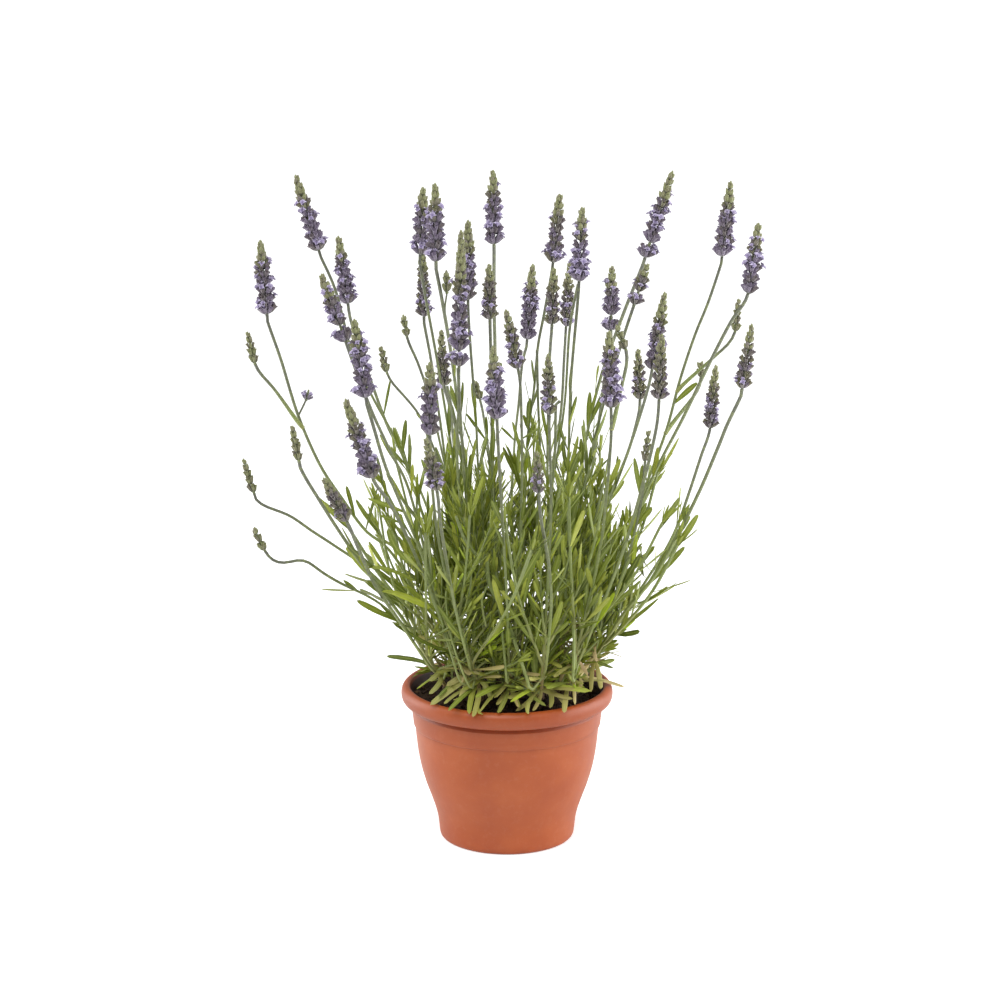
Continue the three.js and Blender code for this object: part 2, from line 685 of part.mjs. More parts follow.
const MATERIALS = {
  pot: new THREE.MeshStandardMaterial({ color: 0xb5633f, roughness: 0.5, metalness: 0 }),
  soil: new THREE.MeshStandardMaterial({ color: 0x2b2019, roughness: 1, metalness: 0 }),
  wood: new THREE.MeshStandardMaterial({ color: 0x6b5236, roughness: 0.9, metalness: 0 }),
  green: new THREE.MeshStandardMaterial({ color: 0x6f7d45, roughness: 0.75, metalness: 0 }),
  flower: new THREE.MeshStandardMaterial({ color: 0x6d5f86, roughness: 0.8, metalness: 0 }),
};

const plant = new THREE.Group();

function addMesh(name, geometry, material) {
  const mesh = new THREE.Mesh(geometry, material);
  mesh.name = name;
  plant.add(mesh);
}

// A profile turned about the pot's axis, standing up along Z.
function turned(profile, sides) {
  const points = profile.map(([radius, height]) => new THREE.Vector2(radius, height));
  const geometry = new THREE.LatheGeometry(points, sides);
  geometry.rotateX(Math.PI / 2);
  return geometry;
}

// The pot: wall, rolled rim and base in one moulding, with drain holes round the middle of the base.
function makePot() {
  const profile = [[0, 0], ...POT_WALL, ...POT_RIM, ...POT_INSIDE, [0, POT_BASE_THICKNESS]];
  let pot = solid(turned(profile, POT_SIDES));
  for (let k = 0; k < DRAIN_HOLES.count; k += 1) {
    const angle = 2 * Math.PI * (k + 0.5) / DRAIN_HOLES.count;
    const { radius } = DRAIN_HOLES;
    const hole = new THREE.CylinderGeometry(radius, radius, POT_BASE_THICKNESS * 4, 6);
    hole.rotateX(Math.PI / 2);
    hole.translate(DRAIN_HOLES.ring * Math.cos(angle), DRAIN_HOLES.ring * Math.sin(angle), 0);
    pot = pot.subtract(solid(hole));
  }
  return geometryOf(pot);
}

// Radius of the pot's inner wall at a height, less the clearance.
function insideRadius(height) {
  const upper = POT_INSIDE.findLastIndex(([, z]) => z >= height);
  const [r1, z1] = POT_INSIDE[upper];
  const [r2, z2] = POT_INSIDE[upper + 1];
  return r2 + (r1 - r2) * (height - z2) / (z1 - z2) - GAP;
}

// The soil: it fills the pot, its surface is lumpy, and the woody stock stands in a plain hole.
function makeSoil() {
  const edge = SOIL_TOP - 1;
  const wall = [
    [insideRadius(POT_BASE_THICKNESS + GAP + 0.01), POT_BASE_THICKNESS + GAP],
    ...POT_INSIDE.slice(1, -1).toReversed().map(([radius, height]) => [radius - GAP - 0.05, height]),
    [insideRadius(edge), edge],
  ];
  const surface = SOIL_RINGS.toReversed().map((radius) => [radius, SOIL_TOP]);
  const profile = [[0, POT_BASE_THICKNESS + GAP], ...wall, ...surface, [0, SOIL_TOP]];
  const geometry = turned(profile, POT_SIDES);
  const { position } = geometry.attributes;
  for (let k = 0; k < position.count; k += 1) {
    const x = position.getX(k);
    const y = position.getY(k);
    if (position.getZ(k) > SOIL_TOP - 0.01) {
      const lump = Math.sin(x * 0.31 + 1) * Math.cos(y * 0.27) + 0.6 * Math.sin(x * 0.13 - y * 0.19);
      position.setZ(k, SOIL_TOP + SOIL_LUMPS * lump / 1.6);
    }
  }
  const { hole, foot, sides } = STOCK;
  const depth = SOIL_TOP + 20 - foot + GAP;
  const cut = new THREE.CylinderGeometry(hole, hole, depth, sides);
  cut.rotateX(Math.PI / 2);
  cut.translate(0, 0, foot - GAP + depth / 2);
  return geometryOf(solid(geometry).subtract(solid(cut)));
}

// A round tapering limb along a curve, closed at both ends.
function taperedTube(curve, steps, sides, radiusAt) {
  const body = new Body();
  const lengths = Array.from({ length: steps + 1 }, (_, k) => curve.getLength() * k / steps);
  const across = vector(curve.getTangentAt(0).y, -curve.getTangentAt(0).x, 0.01).normalize();
  const angles = Array.from({ length: sides }, (_, k) => 2 * Math.PI * k / sides);
  const places = stations(curve, lengths, across, radiusAt);
  const rings = places.map(({ at, across: side, over, halfAcross }) => angles.map((angle) => {
    const edge = at.clone().addScaledVector(side, halfAcross * Math.cos(angle));
    return body.add(edge.addScaledVector(over, halfAcross * Math.sin(angle)));
  }));
  for (let j = 1; j < rings.length; j += 1) {
    for (let k = 0; k < sides; k += 1) {
      body.quad(rings[j - 1][k], rings[j - 1][(k + 1) % sides], rings[j][(k + 1) % sides], rings[j][k]);
    }
  }
  body.fan(rings[0].toReversed(), body.add(curve.getPointAt(0)));
  body.fan(rings.at(-1), body.add(curve.getPointAt(1)));
  return body.geometry();
}

// The crown: the stock in the soil, and a limb that runs out to the woody end of every sprig.
function makeCrown(mains) {
  const { radius, sides, foot, top } = STOCK;
  const stock = new THREE.CylinderGeometry(radius * 0.9, radius, top - foot, sides);
  stock.rotateX(Math.PI / 2);
  stock.translate(0, 0, (foot + top) / 2);
  let crown = solid(stock);
  mains.forEach((main) => {
    const end = main.getPointAt(0);
    const along = main.getTangentAt(0);
    const bottom = vector(0, 0, SOIL_TOP + 3.5);
    const rise = vector(end.x * 0.55, end.y * 0.55, SOIL_TOP + 8 + (end.z - SOIL_TOP) * 0.2);
    const curve = smooth([
      bottom, rise, end.clone().addScaledVector(along, -7), end.clone().addScaledVector(along, -GAP),
    ]);
    const radiusAt = (share) => LIMB.thick + (LIMB.thin - LIMB.thick) * share;
    crown = crown.add(solid(taperedTube(curve, LIMB.steps, LIMB.sides, radiusAt)));
    takeCurve(curve, LIMB.thick, 'crown');
  });
  return geometryOf(crown);
}

const mains = SPRIGS.map(mainCurve);
addMesh('pot', makePot(), MATERIALS.pot);
addMesh('soil', makeSoil(), MATERIALS.soil);
addMesh('crown', makeCrown(mains), MATERIALS.wood);

// Every stalk and head claims its place before the shoots and leaves are drawn.
const sideSets = SPRIGS.map((sprig, k) => sideStalks(sprig, mains[k]));
SPRIGS.forEach((sprig, k) => {
  takeCurve(mains[k], 1.7, sprig.name);
  sideSets[k].forEach(({ curve, from }, j) => {
    takeCurve(curve, 1.4, `${sprig.name}_side_${j}`);
    take(from, curve.getPointAt(0), 1.6, `${sprig.name}_side_${j}`);
  });
  sprig.stalks.forEach((stalk) => {
    take(seen(stalk.foot, stalk.depth), seen(stalk.tip, stalk.depth), stalk.form.reach + 0.5, 'head');
  });
});
const shootSets = SPRIGS.map((sprig, k) => drawShoots(sprig, mains[k], sideSets[k]));

function endOf(stalk) {
  return stalk.form === BUD ? budEnd(seen(stalk.tip, stalk.depth)) : null;
}

// Length of the leafy part of a flower stalk: it ends well below the head.
function leafyLength(curve) {
  return Math.min(170, curve.getLength() * 0.5);
}

function makeSprig(sprig, index) {
  const body = new Body();
  const main = mains[index];
  const grow = (curve, patch, owner, pairs, ending) => {
    const across = body.points[patch[1]].clone().sub(body.points[patch[0]]).normalize();
    growStem(body, curve, {
      start: patch, from: 0, across, halfWidth: SIDE_SLENDER, pairs, forks: [], owner, ending,
    });
  };
  const sideForks = sideSets[index].map(({ stalk, length, heading, curve }, k) => {
    const pairs = stalk.joins ? [] : drawPairs(46, leafyLength(curve), 2, 28);
    return {
      length, heading,
      grow: (patch) => grow(curve, patch, `${sprig.name}_side_${k}`, pairs, endOf(stalk)),
    };
  });
  const shootForks = shootSets[index].map(({ length, heading, curve, long }, k) => {
    const pairs = drawPairs(24, curve.getLength() - 5, Math.round(long / 43), 30);
    return {
      length, heading,
      grow: (patch) => grow(curve, patch, `${sprig.name}_shoot_${k}`, pairs, pointedEnd),
    };
  });
  const forks = [...sideForks, ...shootForks];
  const pairs = [...drawPairs(7, 7, 1, 40), ...drawPairs(68, leafyLength(main), 3, 30)]
    .filter((pair) => forks.every((fork) => Math.abs(fork.length - pair.length) > FORKS.bare));
  growStem(body, main, {
    start: null, from: 0, across: MAIN_ACROSS, halfWidth: SLENDER, pairs, forks,
    owner: sprig.name, ending: endOf(sprig.stalks[0]),
  });
  addMesh(`sprig_${sprig.name}`, body.geometry(), MATERIALS.green);
}

SPRIGS.forEach(makeSprig);

SPRIGS.forEach((sprig) => {
  const opened = sprig.stalks.filter((stalk) => stalk.form !== BUD);
  opened.forEach((stalk, k) => {
    const foot = seen(stalk.foot, stalk.depth);
    const tip = seen(stalk.tip, stalk.depth);
    addMesh(`head_${sprig.name}_${k + 1}`, flowerHead(foot, tip, stalk.form, stalk.parted), MATERIALS.flower);
  });
});

export default plant;
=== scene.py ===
# Potted lavender: a loose bush of leafy stems and long-stalked flower spikes in a round nursery pot.
# Sizes are in millimetres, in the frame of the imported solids: +Z up, -Y towards the viewer, the origin at
# the centre of the pot's flat base. The looks are built round the solids, from the pot up to the flowers.

import math
from collections import namedtuple

import bpy
import numpy as np
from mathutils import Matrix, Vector


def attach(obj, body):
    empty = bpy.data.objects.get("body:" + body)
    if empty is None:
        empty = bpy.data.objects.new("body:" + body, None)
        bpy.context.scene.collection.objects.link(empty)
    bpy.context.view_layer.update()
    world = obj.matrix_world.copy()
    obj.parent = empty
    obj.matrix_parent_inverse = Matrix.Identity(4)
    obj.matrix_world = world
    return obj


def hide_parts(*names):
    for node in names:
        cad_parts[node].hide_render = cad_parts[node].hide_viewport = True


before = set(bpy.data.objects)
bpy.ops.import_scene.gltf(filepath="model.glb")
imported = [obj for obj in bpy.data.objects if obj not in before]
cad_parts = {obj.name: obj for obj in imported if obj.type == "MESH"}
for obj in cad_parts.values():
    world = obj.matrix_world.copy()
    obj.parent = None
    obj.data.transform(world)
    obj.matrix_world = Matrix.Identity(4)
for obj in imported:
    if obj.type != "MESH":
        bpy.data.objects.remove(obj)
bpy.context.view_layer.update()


# Pot
# A round nursery pot, injection moulded in one shot of terracotta-coloured polypropylene. Its wall runs
# out in a slow curve to a step and a rolled rim, and six drain holes go through the flat base.

MM = 0.001
TURN = 2 * math.pi

POT_AROUND = 160
# Radius and height of the points that shape the wall, from the rounded foot up to the rim.
POT_FOOT = [(0, 0), (56.6, 0), (58.3, 0.2), (59.5, 0.8), (60.3, 1.8), (60.8, 3.2)]
POT_WALL = [
    (61.2, 6), (61.7, 11), (62.3, 16), (63.1, 20.5), (64.2, 25), (65.7, 30), (69, 39.5), (72.5, 49),
    (75.5, 58.6), (77.95, 68), (79.85, 78), (81.1, 87), (82.2, 97), (82.9, 104.6),
]
POT_STEP = [
    (83.1, 105.0), (83.8, 105.5), (84.3, 106.2), (84.8, 111), (85.5, 117), (85.9, 121.3), (85.1, 122.8),
    (84.5, 124.2), (84.9, 125.5),
]
POT_RIM = [
    (86.8, 125.9), (89.6, 126.0), (92.1, 126.9), (93.9, 128.8), (94.9, 131.4), (95.2, 134.2), (94.9, 137),
    (93.9, 139.4), (92.2, 141.1), (90.2, 141.9), (88.6, 141.8), (87.5, 141.1), (87, 139.8),
]
# Painted shade darkens the groove under the rim, the step below it and the rim's face: heights of the
# outside, and how much.
SHADE_HEIGHTS = [0, 100, 104.8, 106.2, 108, 117, 121.3, 122.8, 125.5, 126.3, 128, 137, 141]
SHADE_SHARES = [0, 0, 0.2, 0.12, 0.1, 0.12, 0.2, 0.55, 0.62, 0.4, 0.27, 0.27, 0.1]
# The inside of the wall, from the lip down to the middle of the base, which is 2.6 mm thick.
POT_INSIDE = [(86.4, 137), (83.6, 124.5), (77.5, 78), (66.6, 39.5), (58.9, 10), (57.4, 2.6), (0, 2.6)]
DRAIN_HOLES = {"count": 6, "radius": 5, "ring": 40, "sides": 32}


def spline(points, places):
    """Points on a smooth line through the given ones. Between two of them each coordinate is the cubic
    that meets both and runs there parallel to the chord of its two neighbours. A place counts the
    points passed: 2.5 is half way from the third to the fourth."""
    points = np.asarray(points, float)
    places = np.atleast_1d(places)
    ends = np.vstack([2 * points[0] - points[1], points, 2 * points[-1] - points[-2]])
    index = np.clip(np.floor(places).astype(int), 0, len(points) - 2)
    t = (places - index)[:, None]
    before, start, end, after = (ends[index + k] for k in range(4))
    leave = (end - before) / 2
    arrive = (after - start) / 2
    square = 3 * (end - start) - 2 * leave - arrive
    cube = 2 * (start - end) + leave + arrive
    return start + leave * t + square * t**2 + cube * t**3


def ring_faces(rings, corners):
    """Rows of four corners that join each ring of points to the next, outwards for rings that run
    anticlockwise about their direction."""
    ring, corner = np.meshgrid(np.arange(rings - 1), np.arange(corners), indexing="ij")
    here = ring * corners + corner
    beside = ring * corners + (corner + 1) % corners
    return np.stack([here, beside, beside + corners, here + corners], -1).reshape(-1, 4)


def fan_faces(first, corners, tip, upwards):
    """Triangles from a ring that starts at a point's number to one tip, as rows whose last corner is
    given twice."""
    here = first + np.arange(corners)
    beside = first + (np.arange(corners) + 1) % corners
    tips = np.full(corners, tip)
    pair = [here, beside] if upwards else [beside, here]
    return np.stack([*pair, tips, tips], -1)


def turned(profile, around):
    """A profile of radius and height turned about the upright axis: each point at an angle a stands at
    radius times cosine and sine of a. Both ends of the profile lie on the axis."""
    profile = np.asarray(profile, float)
    angles = np.arange(around) * TURN / around
    inner = profile[1:-1]
    across = np.stack([np.cos(angles), np.sin(angles)], -1)
    wall = np.concatenate([
        inner[:, None, :1] * across[None],
        np.repeat(inner[:, None, 1:], around, axis=1),
    ], -1).reshape(-1, 3)
    ends = [[0, 0, profile[0, 1]], [0, 0, profile[-1, 1]]]
    points = np.vstack([wall, ends])
    faces = np.vstack([
        ring_faces(len(inner), around),
        fan_faces(0, around, len(wall), False),
        fan_faces(len(wall) - around, around, len(wall) + 1, True),
    ])
    return {"points": points, "faces": faces}


def repeated(faces, copies, points):
    """The faces of copies with that many points each: their numbers move on from copy to copy."""
    return (faces[None] + np.arange(copies)[:, None, None] * points).reshape(-1, 4)


def new_piece(name, part, materials, sharp=40):
    """A mesh object in the shared frame from a part: its points in millimetres, its faces as rows of
    four corners, the number of each face's material, and any further value for each point, which
    becomes an attribute of that name. Edges that turn by more degrees than sharp stay sharp."""
    faces = part["faces"]
    is_triangle = faces[:, 2] == faces[:, 3]
    counts = np.where(is_triangle, 3, 4)
    used = np.ones(faces.shape, bool)
    used[is_triangle, 3] = False
    corners = faces[used]
    mesh = bpy.data.meshes.new(name)
    mesh.vertices.add(len(part["points"]))
    mesh.vertices.foreach_set("co", (part["points"] * MM).astype(np.float32).ravel())
    mesh.loops.add(len(corners))
    mesh.loops.foreach_set("vertex_index", corners.astype(np.int32))
    mesh.polygons.add(len(faces))
    mesh.polygons.foreach_set("loop_start", (np.cumsum(counts) - counts).astype(np.int32))
    mesh.polygons.foreach_set("use_smooth", np.ones(len(faces), bool))
    for material in materials:
        mesh.materials.append(material)
    if "look" in part:
        mesh.polygons.foreach_set("material_index", part["look"].astype(np.int32))
    for layer in sorted(set(part) - {"points", "faces", "look"}):
        attribute = mesh.attributes.new(layer, "FLOAT", "POINT")
        attribute.data.foreach_set("value", part[layer].astype(np.float32))
    mesh.update(calc_edges=True)
    mesh.set_sharp_from_angle(angle=math.radians(sharp))
    made = bpy.data.objects.new(name, mesh)
    bpy.context.scene.collection.objects.link(made)
    return made


def linear(code):
    """An sRGB hex colour as linear red, green and blue with full alpha."""
    values = [int(code[k:k + 2], 16) / 255 for k in (1, 3, 5)]
    return [v / 12.92 if v <= 0.04045 else ((v + 0.055) / 1.055) ** 2.4 for v in values] + [1]


def find(sockets, name):
    """The first socket with a name or identifier."""
    return next(s for s in sockets if name in (s.identifier, s.name))


def join(node, links):
    """Joins sockets of a node, by name or identifier, each to another node's output."""
    for name, (source, output) in links.items():
        node.id_data.links.new(find(source.outputs, output), find(node.inputs, name))


def add(material, kind, settings, links):
    """Adds one node and its links. A setting goes to the node's own property of that name or else to
    its socket, and stops fill a colour ramp."""
    made = material.node_tree.nodes.new("ShaderNode" + kind)
    for name, value in settings.items():
        if name == "stops":
            ramp = made.color_ramp
            while len(ramp.elements) < len(value):
                ramp.elements.new(1)
            for element, (place, code) in zip(ramp.elements, value):
                element.position = place
                element.color = linear(code)
        elif hasattr(made, name):
            setattr(made, name, value)
        else:
            find(made.inputs, name).default_value = value
    join(made, links)
    return made


def new_material(name, roughness):
    """A node material with its shader, and its object coordinates as a node and output to link to."""
    made = bpy.data.materials.new(name)
    made.use_nodes = True
    made.node_tree.nodes.clear()
    shader = add(made, "BsdfPrincipled", {"Roughness": roughness}, {})
    add(made, "OutputMaterial", {}, {"Surface": (shader, "BSDF")})
    return made, shader, (add(made, "TexCoord", {}, {}), "Object")


def clouds(material, place, size, detail, roughness, stops):
    """A noise with clouds of a size in millimetres, and the colours that it runs through."""
    noise = add(
        material, "TexNoise", {"Scale": 1 / (size * MM), "Detail": detail, "Roughness": roughness},
        {"Vector": place},
    )
    return noise, add(material, "ValToRGB", {"stops": stops}, {"Fac": (noise, "Fac")})


def spotted(material, place, colour, spots, size, detail, roughness, low, high, most):
    """A colour with spots of another, whose share rises from none to the most where a noise with
    clouds of a size in millimetres goes from low to high."""
    noise = add(
        material, "TexNoise", {"Scale": 1 / (size * MM), "Detail": detail, "Roughness": roughness},
        {"Vector": place},
    )
    share = add(
        material, "MapRange", {"From Min": low, "From Max": high, "To Max": most}, {"Value": (noise, "Fac")},
    )
    return add(
        material, "Mix", {"data_type": "RGBA", "B_Color": linear(spots)},
        {"Factor_Float": (share, "Result"), "A_Color": colour},
    )


# Polypropylene as it leaves a spark-eroded mould: a satin skin with a fine matt grain, faint clouds where
# the melt flowed, and a little pale dust in small spots all over.
pot_plastic, shader, place = new_material("moulded terracotta polypropylene", 0.42)
shader.inputs["IOR"].default_value = 1.49
_, body_colour = clouds(
    pot_plastic, place, 38, 3.0, 0.55, [(0.3, "#A1491D"), (0.55, "#A95020"), (0.75, "#B05727")],
)
dusty_colour = spotted(
    pot_plastic, place, (body_colour, "Color"), "#CE9A7C", 5, 5.0, 0.7, low=0.52, high=0.8, most=0.1,
)
# Painted shade darkens the outside under and on the rim; inside, the wall is darkened by dried splashed soil
# and by painted shade.
stain = add(pot_plastic, "Attribute", {"attribute_name": "stain"}, {})
# Up to 0.6 the colour of the painted shade outside; at 1.0 the dark of dried soil and painted shade inside.
shade_and_soil_colour = add(
    pot_plastic, "ValToRGB", {"stops": [(0.6, "#7A2A10"), (1.0, "#43261A")]}, {"Fac": (stain, "Fac")},
)
pot_colour = add(pot_plastic, "Mix", {"data_type": "RGBA"}, {
    "Factor_Float": (stain, "Fac"), "A_Color": (dusty_colour, "Result_Color"),
    "B_Color": (shade_and_soil_colour, "Color"),
})
# The real grain is about 0.3 mm; it is drawn at 0.9 mm so that it still shows.
grain = add(pot_plastic, "TexNoise", {"Scale": 1 / (0.9 * MM), "Detail": 2.0}, {"Vector": place})
pot_bump = add(
    pot_plastic, "Bump", {"Strength": 0.12, "Distance": 0.3 * MM}, {"Height": (grain, "Fac")},
)
join(shader, {"Base Color": (pot_colour, "Result_Color"), "Normal": (pot_bump, "Normal")})

wall = spline(POT_WALL, np.linspace(0, len(POT_WALL) - 1, 6 * len(POT_WALL)))
rim = spline(POT_RIM, np.linspace(0, len(POT_RIM) - 1, 3 * len(POT_RIM)))
outside = np.vstack([POT_FOOT, wall, POT_STEP, rim])
shell = turned(np.vstack([outside, POT_INSIDE]), POT_AROUND)
# Outside, the painted shade by height; the inside is darkened in full by dried soil and painted shade.
shade_and_soil_shares = np.append(np.interp(outside[:, 1], SHADE_HEIGHTS, SHADE_SHARES), np.ones(len(POT_INSIDE)))
shell["stain"] = np.append(np.repeat(shade_and_soil_shares[1:-1], POT_AROUND), shade_and_soil_shares[[0, -1]])
pot = new_piece("pot_wall", shell, [pot_plastic], 32)

hole_angles = (np.arange(DRAIN_HOLES["count"]) + 0.5) * TURN / DRAIN_HOLES["count"]
hole_profile = [(0, -5), (DRAIN_HOLES["radius"], -5), (DRAIN_HOLES["radius"], 8), (0, 8)]
plug = turned(hole_profile, DRAIN_HOLES["sides"])
shifts = DRAIN_HOLES["ring"] * np.stack([np.cos(hole_angles), np.sin(hole_angles), 0 * hole_angles], -1)
plugs = new_piece("drain hole plugs", {
    "points": (plug["points"][None] + shifts[:, None]).reshape(-1, 3),
    "faces": repeated(plug["faces"], len(shifts), len(plug["points"])),
}, [pot_plastic])
bore = pot.modifiers.new("drain holes", "BOOLEAN")
bore.object = plugs
bore.solver = "EXACT"
bored = bpy.data.meshes.new_from_object(pot.evaluated_get(bpy.context.evaluated_depsgraph_get()))
pot.modifiers.clear()
pot.data = bored
bpy.data.objects.remove(plugs)
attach(pot, "root")
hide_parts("pot")


# Soil
# Dark moist potting mix of peat and composted bark, filled to a finger's width under the lip. It is one
# body with a crumbly surface, strewn with loose crumbs of peat and chips of bark.

SOIL_TOP = 131
SOIL_AROUND = 150
SOIL_EDGE = 84.4
# The buried side of the soil, just inside the wall, down to the middle of its base.
SOIL_SIDE = [(82.6, 124.5), (76.6, 78), (65.8, 39.5), (58, 10), (56.8, 3), (0, 3)]
# Loose bits: how many, their sizes from small to large, and their height as a share of their width.
CRUMBS = {"count": 900, "small": 0.7, "large": 2.4, "flat": 0.75}
CHIPS = {"count": 110, "small": 1.6, "large": 4.6, "flat": 0.3}
LATTICE = 97
chance = np.random.default_rng(7)
lattice = chance.uniform(-1, 1, (LATTICE, LATTICE))


def lumps(x, y, cell):
    """Smooth uneven heights between -1 and 1: a drawn value at each corner of a square lattice of that
    cell, blended between corners with the ease 3t^2 - 2t^3 in both directions."""
    i = np.floor(x / cell).astype(int)
    j = np.floor(y / cell).astype(int)
    s = x / cell - i
    t = y / cell - j
    s = s * s * (3 - 2 * s)
    t = t * t * (3 - 2 * t)
    here, beside = i % LATTICE, (i + 1) % LATTICE
    below, above = j % LATTICE, (j + 1) % LATTICE
    low = lattice[here, below] * (1 - s) + lattice[beside, below] * s
    high = lattice[here, above] * (1 - s) + lattice[beside, above] * s
    return low * (1 - t) + high * t


def soil_height(x, y):
    """The mean level, plus hollows and clods of 30, 9 and 3.5 mm, flattened towards the wall."""
    rough = 1.9 * lumps(x, y, 30) + 1.2 * lumps(x, y, 9) + 0.8 * lumps(x + 40, y, 3.5)
    return SOIL_TOP - 0.6 + rough * np.clip((SOIL_EDGE - np.hypot(x, y)) / 6, 0.25, 1)


def gather(parts):
    """Joins parts into one: the faces' numbers move on by the points that come before."""
    starts = np.cumsum([0] + [len(p["points"]) for p in parts[:-1]])
    joined = {"faces": np.vstack([p["faces"] + s for p, s in zip(parts, starts)])}
    for key in set(parts[0]) - {"faces"}:
        joined[key] = np.concatenate([p[key] for p in parts])
    return joined


def unit(vectors):
    """Vectors of the same direction and length one."""
    return vectors / np.linalg.norm(vectors, axis=-1, keepdims=True)


def cleared(vectors, axes):
    """Unit vectors square to unit axes: what runs along the axes is taken out of the vectors."""
    return unit(vectors - axes * np.sum(axes * vectors, -1, keepdims=True))


def turns(count):
    """Random turns as rows of three crossed unit vectors: two drawn directions, the second one cleared
    of the first, and their cross product."""
    first = unit(chance.normal(size=(count, 3)))
    second = cleared(chance.normal(size=(count, 3)), first)
    return np.stack([first, second, np.cross(first, second)], 1)


def scattered(shape, sizes, places, roughness):
    """Copies of a small closed shape: each is stretched by its own three sizes, dented by a drawn share
    of them, turned at random and set at its place."""
    count = len(places)
    dents = 1 + roughness * chance.uniform(-1, 1, (count, len(shape["points"]), 1))
    local = shape["points"][None] * dents * sizes[:, None]
    points = np.einsum("npi,nij->npj", local, turns(count)) + places[:, None]
    faces = repeated(shape["faces"], count, len(shape["points"]))
    return {"points": points.reshape(-1, 3), "faces": faces}


# Peat and bark, wet through: almost black, without gloss, with brown fibres where it has dried.
potting_mix, shader, place = new_material("moist peat and bark", 0.92)
shader.inputs["Specular IOR Level"].default_value = 0.25
clods, soil_colour = clouds(
    potting_mix, place, 6, 8.0, 0.7,
    [(0.3, "#1C1410"), (0.5, "#35261D"), (0.66, "#513B2B"), (0.8, "#73573D")],
)
soil_bump = add(
    potting_mix, "Bump", {"Strength": 0.8, "Distance": 0.8 * MM}, {"Height": (clods, "Fac")},
)
join(shader, {"Base Color": (soil_colour, "Color"), "Normal": (soil_bump, "Normal")})

# Bark chips are drier and redder than the peat round them.
bark_chips, shader, place = new_material("composted bark chips", 0.85)
_, chip_colour = clouds(
    bark_chips, place, 2.5, 4.0, 0.5, [(0.3, "#2C1D14"), (0.6, "#4E3422"), (0.8, "#7A5A3C")],
)
join(shader, {"Base Color": (chip_colour, "Color")})

surface_rings = np.linspace(1.2, SOIL_EDGE, 62)
soil_body = turned([(0, SOIL_TOP), *((r, SOIL_TOP) for r in surface_rings)] + SOIL_SIDE, SOIL_AROUND)
soil_body["faces"] = soil_body["faces"][:, [1, 0, 3, 2]]
on_top = soil_body["points"][:, 2] > SOIL_TOP - 1
level = soil_height(soil_body["points"][:, 0], soil_body["points"][:, 1])
soil_body["points"][on_top, 2] = level[on_top]
soil_body["look"] = np.zeros(len(soil_body["faces"]), int)

# A crumb is a dented icosahedron: its corners lie at one and at the golden ratio on crossed planes.
golden = (1 + math.sqrt(5)) / 2
lump_points = unit(np.array([
    (-1, golden, 0), (1, golden, 0), (-1, -golden, 0), (1, -golden, 0), (0, -1, golden), (0, 1, golden),
    (0, -1, -golden), (0, 1, -golden), (golden, 0, -1), (golden, 0, 1), (-golden, 0, -1), (-golden, 0, 1),
]))
lump_faces = np.array([
    (0, 11, 5), (0, 5, 1), (0, 1, 7), (0, 7, 10), (0, 10, 11), (1, 5, 9), (5, 11, 4), (11, 10, 2),
    (10, 7, 6), (7, 1, 8), (3, 9, 4), (3, 4, 2), (3, 2, 6), (3, 6, 8), (3, 8, 9), (4, 9, 5), (2, 4, 11),
    (6, 2, 10), (8, 6, 7), (9, 8, 1),
])
lump = {"points": lump_points, "faces": lump_faces[:, [0, 1, 2, 2]]}


def strewn(count, small, large, flat):
    """Loose bits over the whole surface: drawn evenly over the disc, the small ones more often, and each
    with its middle at three tenths of its size over the soil."""
    angle = chance.uniform(0, TURN, count)
    radius = (SOIL_EDGE - 3) * np.sqrt(chance.uniform(0.01, 1, count))
    x = radius * np.cos(angle)
    y = radius * np.sin(angle)
    size = small + (large - small) * chance.uniform(0, 1, count) ** 2.2
    stretch = np.stack([np.ones(count), chance.uniform(0.5, 0.9, count), np.full(count, flat)], -1)
    sizes = size[:, None] * stretch
    places = np.stack([x, y, soil_height(x, y) + 0.3 * size], -1)
    return scattered(lump, sizes, places, 0.22)


crumbs = strewn(**CRUMBS)
crumbs["look"] = np.zeros(len(crumbs["faces"]), int)
chips = strewn(**CHIPS)
chips["look"] = np.ones(len(chips["faces"]), int)
soil = new_piece("soil_bed", gather([soil_body, crumbs, chips]), [potting_mix, bark_chips])
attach(soil, "root")
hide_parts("soil")


# Crown
# The old wood of the plant: a short stock rooted in the soil, and a crooked limb from it to the woody end
# of each sprig. Lavender's bark is grey-brown and peels in strips, so the limbs are ridged lengthwise.

# The front view from which places are read: a frame 1000 wide and high, with the pot's axis at 507.
EYE = np.array([-6.3, -2368, 870])
AIM = np.array([-6.3, 0, 311])
FOCAL = 2746
MIDDLE = 500
# The last stretch of a stalk runs straight into its head.
NECK = 6

# Forms of a flower head: how far its florets reach, how many stand in a whorl, the length of a calyx,
# and how ripe the head is. The small ones are the youngest, and a bud is green and still closed.
LARGE = {"reach": 8.6, "round": 8, "calyx": 8.9, "ripe": 1.1}
MEDIUM = {"reach": 7.4, "round": 7, "calyx": 7.3, "ripe": 0.6}
SMALL = {"reach": 5.6, "round": 6, "calyx": 5.6, "ripe": 0.45}
BUD = {"reach": 3.4, "round": 5, "calyx": 6.4, "ripe": 0.08}

Sprig = namedtuple("Sprig", "name root high shoots stalks")
Stalk = namedtuple("Stalk", "form depth tip foot route extras", defaults=[{}])
